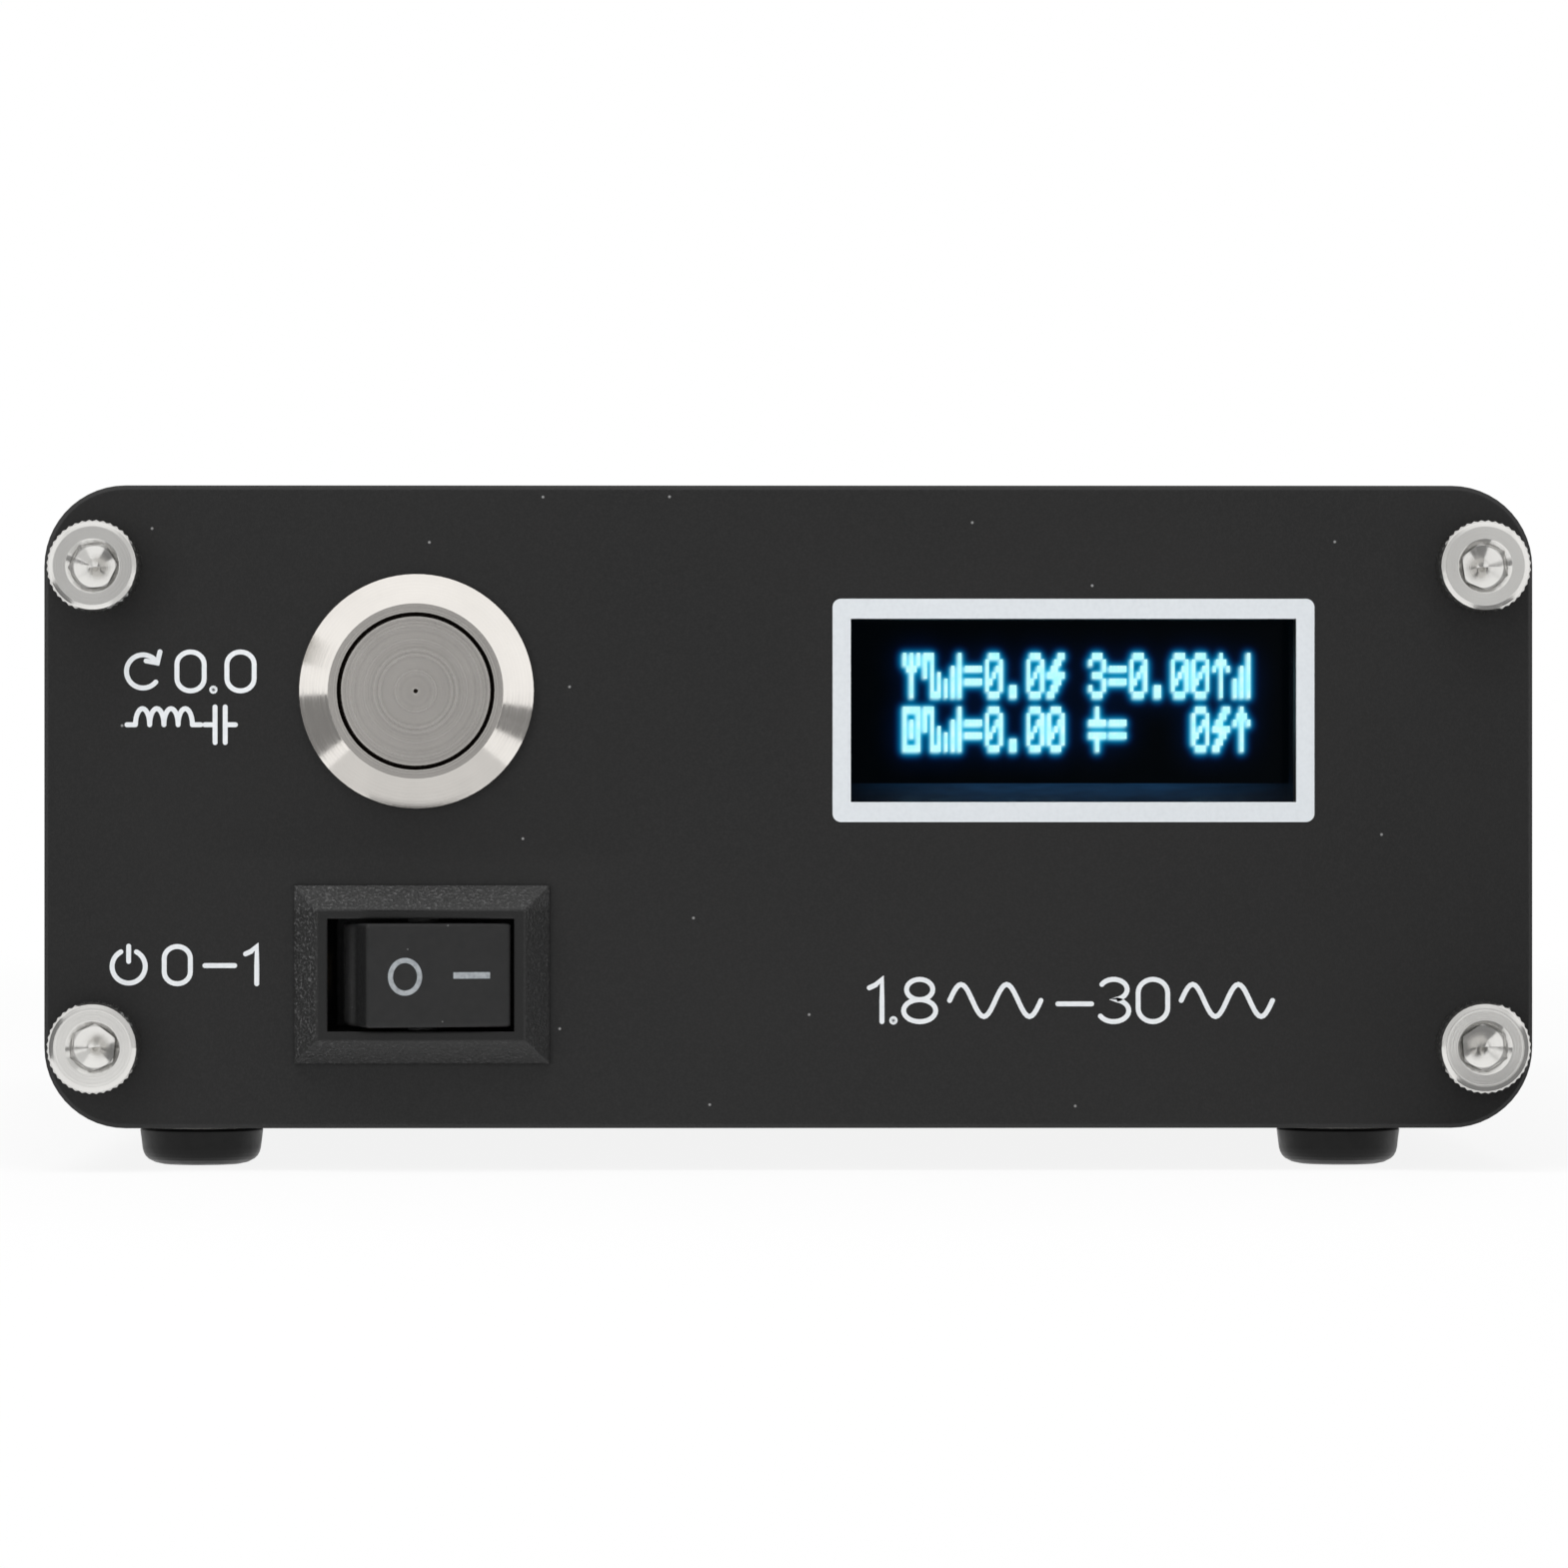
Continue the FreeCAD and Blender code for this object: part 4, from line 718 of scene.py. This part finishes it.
TEXT_TOP = 9.2
ROW_PITCH = 3.22


def lit_runs():
    """Boxes (x, top, w, h) in mm of the lit dots; dots that touch in a column are one box."""
    runs = []
    left = TEXT_X - (17 * CELL_W - DOT_W) / 2
    for row, cells in enumerate((ROW_ONE, ROW_TWO)):
        top = TEXT_TOP - row * ROW_PITCH
        for cell, key in enumerate(cells):
            lines = GLYPHS[key].split()
            for column in range(5):
                x = left + cell * CELL_W + column * DOT_W
                lit = [lines[k][column] == "#" for k in range(7)] + [False]
                start = None
                for k, on in enumerate(lit):
                    if on and start is None:
                        start = k
                    if not on and start is not None:
                        runs.append((x, top - 2 * start * DOT_H, DOT_W, 2 * (k - start) * DOT_H))
                        start = None
    return runs


def display_dots(runs):
    """Each run of lit dots is a low box with chamfered edges, just in front of the glass."""
    mesh = bmesh.new()
    gap = 0.004
    rise = 0.03
    edge = 0.02
    back = GLASS_Y - 0.035 * MM
    for x, top, w, h in runs:
        loops = []
        for inset, depth in ((0.0, 0.0), (0.0, rise - edge), (edge, rise)):
            x0, x1 = x + gap + inset, x + w - gap - inset
            z0, z1 = top - h + gap + inset, top - gap - inset
            y = back - depth * MM
            corners = [(x0, z0), (x1, z0), (x1, z1), (x0, z1)]
            loops.append([mesh.verts.new((px * MM, y, MID_Z + pz * MM)) for px, pz in corners])
        mesh.faces.new(loops[0][::-1])
        mesh.faces.new(loops[2])
        for behind, ahead in zip(loops, loops[1:]):
            for i in range(4):
                j = (i + 1) % 4
                mesh.faces.new([behind[i], behind[j], ahead[j], ahead[i]])
    bmesh.ops.recalc_face_normals(mesh, faces=mesh.faces)
    made = piece("display_dots", mesh, LIT)
    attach(made, "root")


def blurred(picture, sigma):
    """Gaussian blur of a 2-D array; sigma in cells."""
    reach = int(3 * sigma) + 1
    kernel = np.exp(-0.5 * (np.arange(-reach, reach + 1) / sigma) ** 2)
    kernel /= kernel.sum()
    for axis in (0, 1):
        picture = np.apply_along_axis(lambda line: np.convolve(line, kernel, mode="same"), axis, picture)
    return picture


def display_halo(runs):
    """Thin sheet on the glass that carries the blue light around the dots."""
    step = 0.08
    low, high = (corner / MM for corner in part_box("display_glass"))
    x0, x1 = low.x + 0.05, high.x - 0.05
    z0, z1 = low.z - MID_Z / MM + 0.05, high.z - MID_Z / MM - 0.05
    columns = int((x1 - x0) / step) + 1
    lines = int((z1 - z0) / step) + 1
    light = np.zeros((lines, columns))
    for x, top, w, h in runs:
        a, b = int((x - x0) / step), int((x + w - x0) / step) + 1
        c, d = int((top - h - z0) / step), int((top - z0) / step) + 1
        light[c:d, a:b] = 1.0
    tight = blurred(light, 1.0)
    close = blurred(light, 2.6)
    far = blurred(light, 9.0)
    mesh = bmesh.new()
    thick = 0.02
    front_y = GLASS_Y - 0.03 * MM
    grid = []
    for k in range(lines):
        z = MID_Z + (z0 + k * step) * MM
        grid.append([mesh.verts.new(((x0 + i * step) * MM, front_y, z)) for i in range(columns)])
    for k in range(lines - 1):
        for i in range(columns - 1):
            mesh.faces.new([grid[k][i], grid[k][i + 1], grid[k + 1][i + 1], grid[k + 1][i]])
    thicken(mesh, thick)
    made = piece("display_halo", mesh, GLOW)
    values = made.data.attributes.new("halo", "FLOAT_COLOR", "POINT")
    colours = np.zeros((len(made.data.vertices), 4), np.float32)
    colours[:, 3] = 1.0
    for i, vertex in enumerate(made.data.vertices):
        if vertex.co.y > front_y + thick / 2 * MM:
            continue
        k = round((vertex.co.z - MID_Z) / MM / step - z0 / step)
        j = round((vertex.co.x / MM - x0) / step)
        edge, near, wide = tight[k, j], close[k, j], far[k, j]
        colours[i, 0] = min(0.4, 0.6 * edge ** 2.2)
        colours[i, 1] = min(1.0, 0.6 * edge ** 1.3 + 0.62 * near ** 1.3 + 0.012 * wide + 0.0006)
        colours[i, 2] = min(1.0, 0.45 * edge + 0.9 * near + 0.06 * wide + 0.0012)
    values.data.foreach_set("color", colours.ravel())
    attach(made, "root")


lit = lit_runs()
display_dots(lit)
display_halo(lit)


# ---------------------------------------------------------------- return spring of the button
def coil_mesh(centre, radius, wire, length, turns, around=10, per_turn=40):
    """Round wire wound along +Y from centre, with closed ends."""
    mesh = bmesh.new()
    rings = []
    count = turns * per_turn
    for i in range(count + 1):
        angle = 2 * math.pi * i / per_turn
        outward = Vector((math.cos(angle), 0, math.sin(angle)))
        spine = centre + outward * radius + Vector((0, wire + (length - 2 * wire) * i / count, 0))
        loop = []
        for k in range(around):
            a = 2 * math.pi * k / around
            lift = Vector((0, wire * math.sin(a), 0))
            loop.append(mesh.verts.new(spine + outward * wire * math.cos(a) + lift))
        rings.append(loop)
    for low, high in zip(rings, rings[1:]):
        for k in range(around):
            j = (k + 1) % around
            mesh.faces.new([low[k], low[j], high[j], high[k]])
    mesh.faces.new(rings[0])
    mesh.faces.new(rings[-1][::-1])
    bmesh.ops.recalc_face_normals(mesh, faces=mesh.faces)
    for face in mesh.faces:
        face.smooth = True
    return mesh


spring_low, spring_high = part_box("button_spring")
spring_wire = 0.28 * MM
spring_radius = (spring_high.x - spring_low.x) / 2 - spring_wire
spring_length = spring_high.y - spring_low.y
spring_start = Vector((BUTTON.x, spring_low.y, BUTTON.z))
button_spring = piece(
    "button_return_spring",
    coil_mesh(spring_start, spring_radius, spring_wire, spring_length, 4),
    FINISHES["inner_steel"],
)
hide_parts("button_spring")
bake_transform(button_spring)


# ---------------------------------------------------------------- stage, light and camera
def seen_directly(tree):
    """1 on camera, glossy and transmission rays, 0 on the rest."""
    path = tree.nodes.new("ShaderNodeLightPath")
    value = path.outputs["Is Camera Ray"]
    for name in ("Is Glossy Ray", "Is Transmission Ray"):
        both = tree.nodes.new("ShaderNodeMath")
        both.operation = "MAXIMUM"
        tree.links.new(value, both.inputs[0])
        tree.links.new(path.outputs[name], both.inputs[1])
        value = both.outputs[0]
    return value


def make_world(diffuse_level):
    world = bpy.data.worlds.new("studio")
    scene.world = world
    world.use_nodes = True
    tree = world.node_tree
    background = tree.nodes["Background"]
    background.inputs["Color"].default_value = (1, 1, 1, 1)
    level = tree.nodes.new("ShaderNodeMapRange")
    level.inputs["To Min"].default_value = diffuse_level
    level.inputs["To Max"].default_value = 1.0
    tree.links.new(seen_directly(tree), level.inputs["Value"])
    tree.links.new(level.outputs["Result"], background.inputs["Strength"])


def sheet(name, corners):
    mesh = bmesh.new()
    mesh.faces.new([mesh.verts.new(corner) for corner in corners])
    data = bpy.data.meshes.new(name)
    mesh.to_mesh(data)
    mesh.free()
    made = bpy.data.objects.new(name, data)
    scene.collection.objects.link(made)
    return made


def make_floor():
    """Pale floor: mostly lit paper white where it is seen, with the object's soft shadow kept."""
    half = 3.0
    level = -0.00001
    corners = [(x * half, y * half, level) for x, y in ((-1, -1), (1, -1), (1, 1), (-1, 1))]
    floor = sheet("floor", corners)
    material = bpy.data.materials.new("pale_floor")
    material.use_nodes = True
    tree = material.node_tree
    tree.nodes.clear()
    diffuse = tree.nodes.new("ShaderNodeBsdfDiffuse")
    diffuse.inputs["Color"].default_value = (0.82, 0.82, 0.82, 1)
    glow = tree.nodes.new("ShaderNodeEmission")
    place = tree.nodes.new("ShaderNodeTexCoord")
    reach = tree.nodes.new("ShaderNodeVectorMath")
    reach.operation = "LENGTH"
    fade = tree.nodes.new("ShaderNodeMapRange")
    fade.inputs["From Min"].default_value = 0.11
    fade.inputs["From Max"].default_value = 0.5
    fade.inputs["To Min"].default_value = 0.88
    fade.inputs["To Max"].default_value = 1.0
    share = tree.nodes.new("ShaderNodeMath")
    share.operation = "MULTIPLY"
    tree.links.new(place.outputs["Object"], reach.inputs[0])
    tree.links.new(reach.outputs["Value"], fade.inputs["Value"])
    tree.links.new(fade.outputs["Result"], share.inputs[1])
    both = tree.nodes.new("ShaderNodeMixShader")
    out = tree.nodes.new("ShaderNodeOutputMaterial")
    tree.links.new(seen_directly(tree), share.inputs[0])
    tree.links.new(share.outputs[0], both.inputs[0])
    tree.links.new(diffuse.outputs[0], both.inputs[1])
    tree.links.new(glow.outputs[0], both.inputs[2])
    tree.links.new(both.outputs[0], out.inputs["Surface"])
    floor.data.materials.append(material)


def reflector(name, corners, level):
    """Card that shows only in reflections."""
    card = sheet(name, corners)
    material = bpy.data.materials.new(name)
    material.use_nodes = True
    tree = material.node_tree
    tree.nodes.clear()
    glow = tree.nodes.new("ShaderNodeEmission")
    glow.inputs["Strength"].default_value = level
    out = tree.nodes.new("ShaderNodeOutputMaterial")
    tree.links.new(glow.outputs[0], out.inputs["Surface"])
    card.data.materials.append(material)
    card.visible_camera = False
    card.visible_diffuse = False
    card.visible_transmission = False
    card.visible_shadow = False
    return card, tree, glow


def camera_card():
    """Grey card around the camera, darker in its middle."""
    y = FACE_Y - 0.47
    half = 0.34
    z = MID_Z
    corners = [(-half, y, z - half), (half, y, z - half), (half, y, z + half), (-half, y, z + half)]
    card, tree, glow = reflector("camera_card", corners, 1.0)
    place = tree.nodes.new("ShaderNodeTexCoord")
    offset = tree.nodes.new("ShaderNodeVectorMath")
    offset.operation = "DISTANCE"
    offset.inputs[1].default_value = (-0.01, y, z)
    level = tree.nodes.new("ShaderNodeMapRange")
    level.inputs["From Min"].default_value = 0.035
    level.inputs["From Max"].default_value = 0.085
    level.inputs["To Min"].default_value = 0.2
    level.inputs["To Max"].default_value = 0.63
    tree.links.new(place.outputs["Object"], offset.inputs[0])
    tree.links.new(offset.outputs["Value"], level.inputs["Value"])
    tree.links.new(level.outputs["Result"], glow.inputs["Strength"])


def flag(name, x, z0, z1, level):
    """Upright dark card beside the front panel."""
    near, far = FACE_Y - 0.002, FACE_Y - 0.12
    reflector(name, [(x, near, z0), (x, far, z0), (x, far, z1), (x, near, z1)], level)


def ledge(name, x0, x1, z, level, near=FACE_Y - 0.0013, far=FACE_Y - 0.12):
    """Level card in front of the panel, or behind the object."""
    reflector(name, [(x0, near, z), (x1, near, z), (x1, far, z), (x0, far, z)], level)


def softbox(name, place, target, size, watts):
    data = bpy.data.lights.new(name, "AREA")
    data.shape = "RECTANGLE"
    data.size, data.size_y = size
    data.energy = watts
    lamp = bpy.data.objects.new(name, data)
    lamp.location = place
    lamp.rotation_euler = (Vector(target) - Vector(place)).to_track_quat("-Z", "Y").to_euler()
    lamp.visible_glossy = False
    scene.collection.objects.link(lamp)


def make_camera():
    data = bpy.data.cameras.new("camera")
    data.lens = 174.8
    data.sensor_width = 36.0
    data.clip_start = 0.01
    data.clip_end = 20.0
    camera = bpy.data.objects.new("camera", data)
    place = Vector((-3.9 * MM, FACE_Y - 450 * MM, MID_Z + 1.38 * MM))
    target = Vector((-0.29 * MM, FACE_Y, MID_Z + 1.35 * MM))
    camera.location = place
    camera.rotation_euler = (target - place).to_track_quat("-Z", "Y").to_euler()
    scene.collection.objects.link(camera)
    scene.camera = camera


make_world(0.32)
make_floor()
camera_card()
flag("left_flag", -0.066, 0.0005, 0.0272, 0.22)
flag("right_flag", 0.062, 0.0005, 0.0170, 0.25)
ledge("right_floor_card", 0.036, 0.0615, 0.0005, 0.25)
ledge("bounce_card", -0.034, -0.010, 0.0182, 0.68)
ledge("rear_floor_card", -0.25, 0.25, 0.0005, 0.4, BACK_Y + 0.06, BACK_Y + 0.35)
softbox("overhead_softbox", (-0.08, FACE_Y - 0.16, 0.55), (0, FACE_Y + 0.03, MID_Z), (0.55, 0.4), 2.9)
softbox("left_softbox", (-0.45, FACE_Y - 0.5, 0.2), (0, FACE_Y + 0.05, MID_Z), (0.3, 0.45), 1.5)
softbox("rear_softbox", (0.25, 0.65, 0.45), (0, 0.05, MID_Z), (0.5, 0.4), 1.6)
make_camera()
scene.view_settings.view_transform = "Standard"
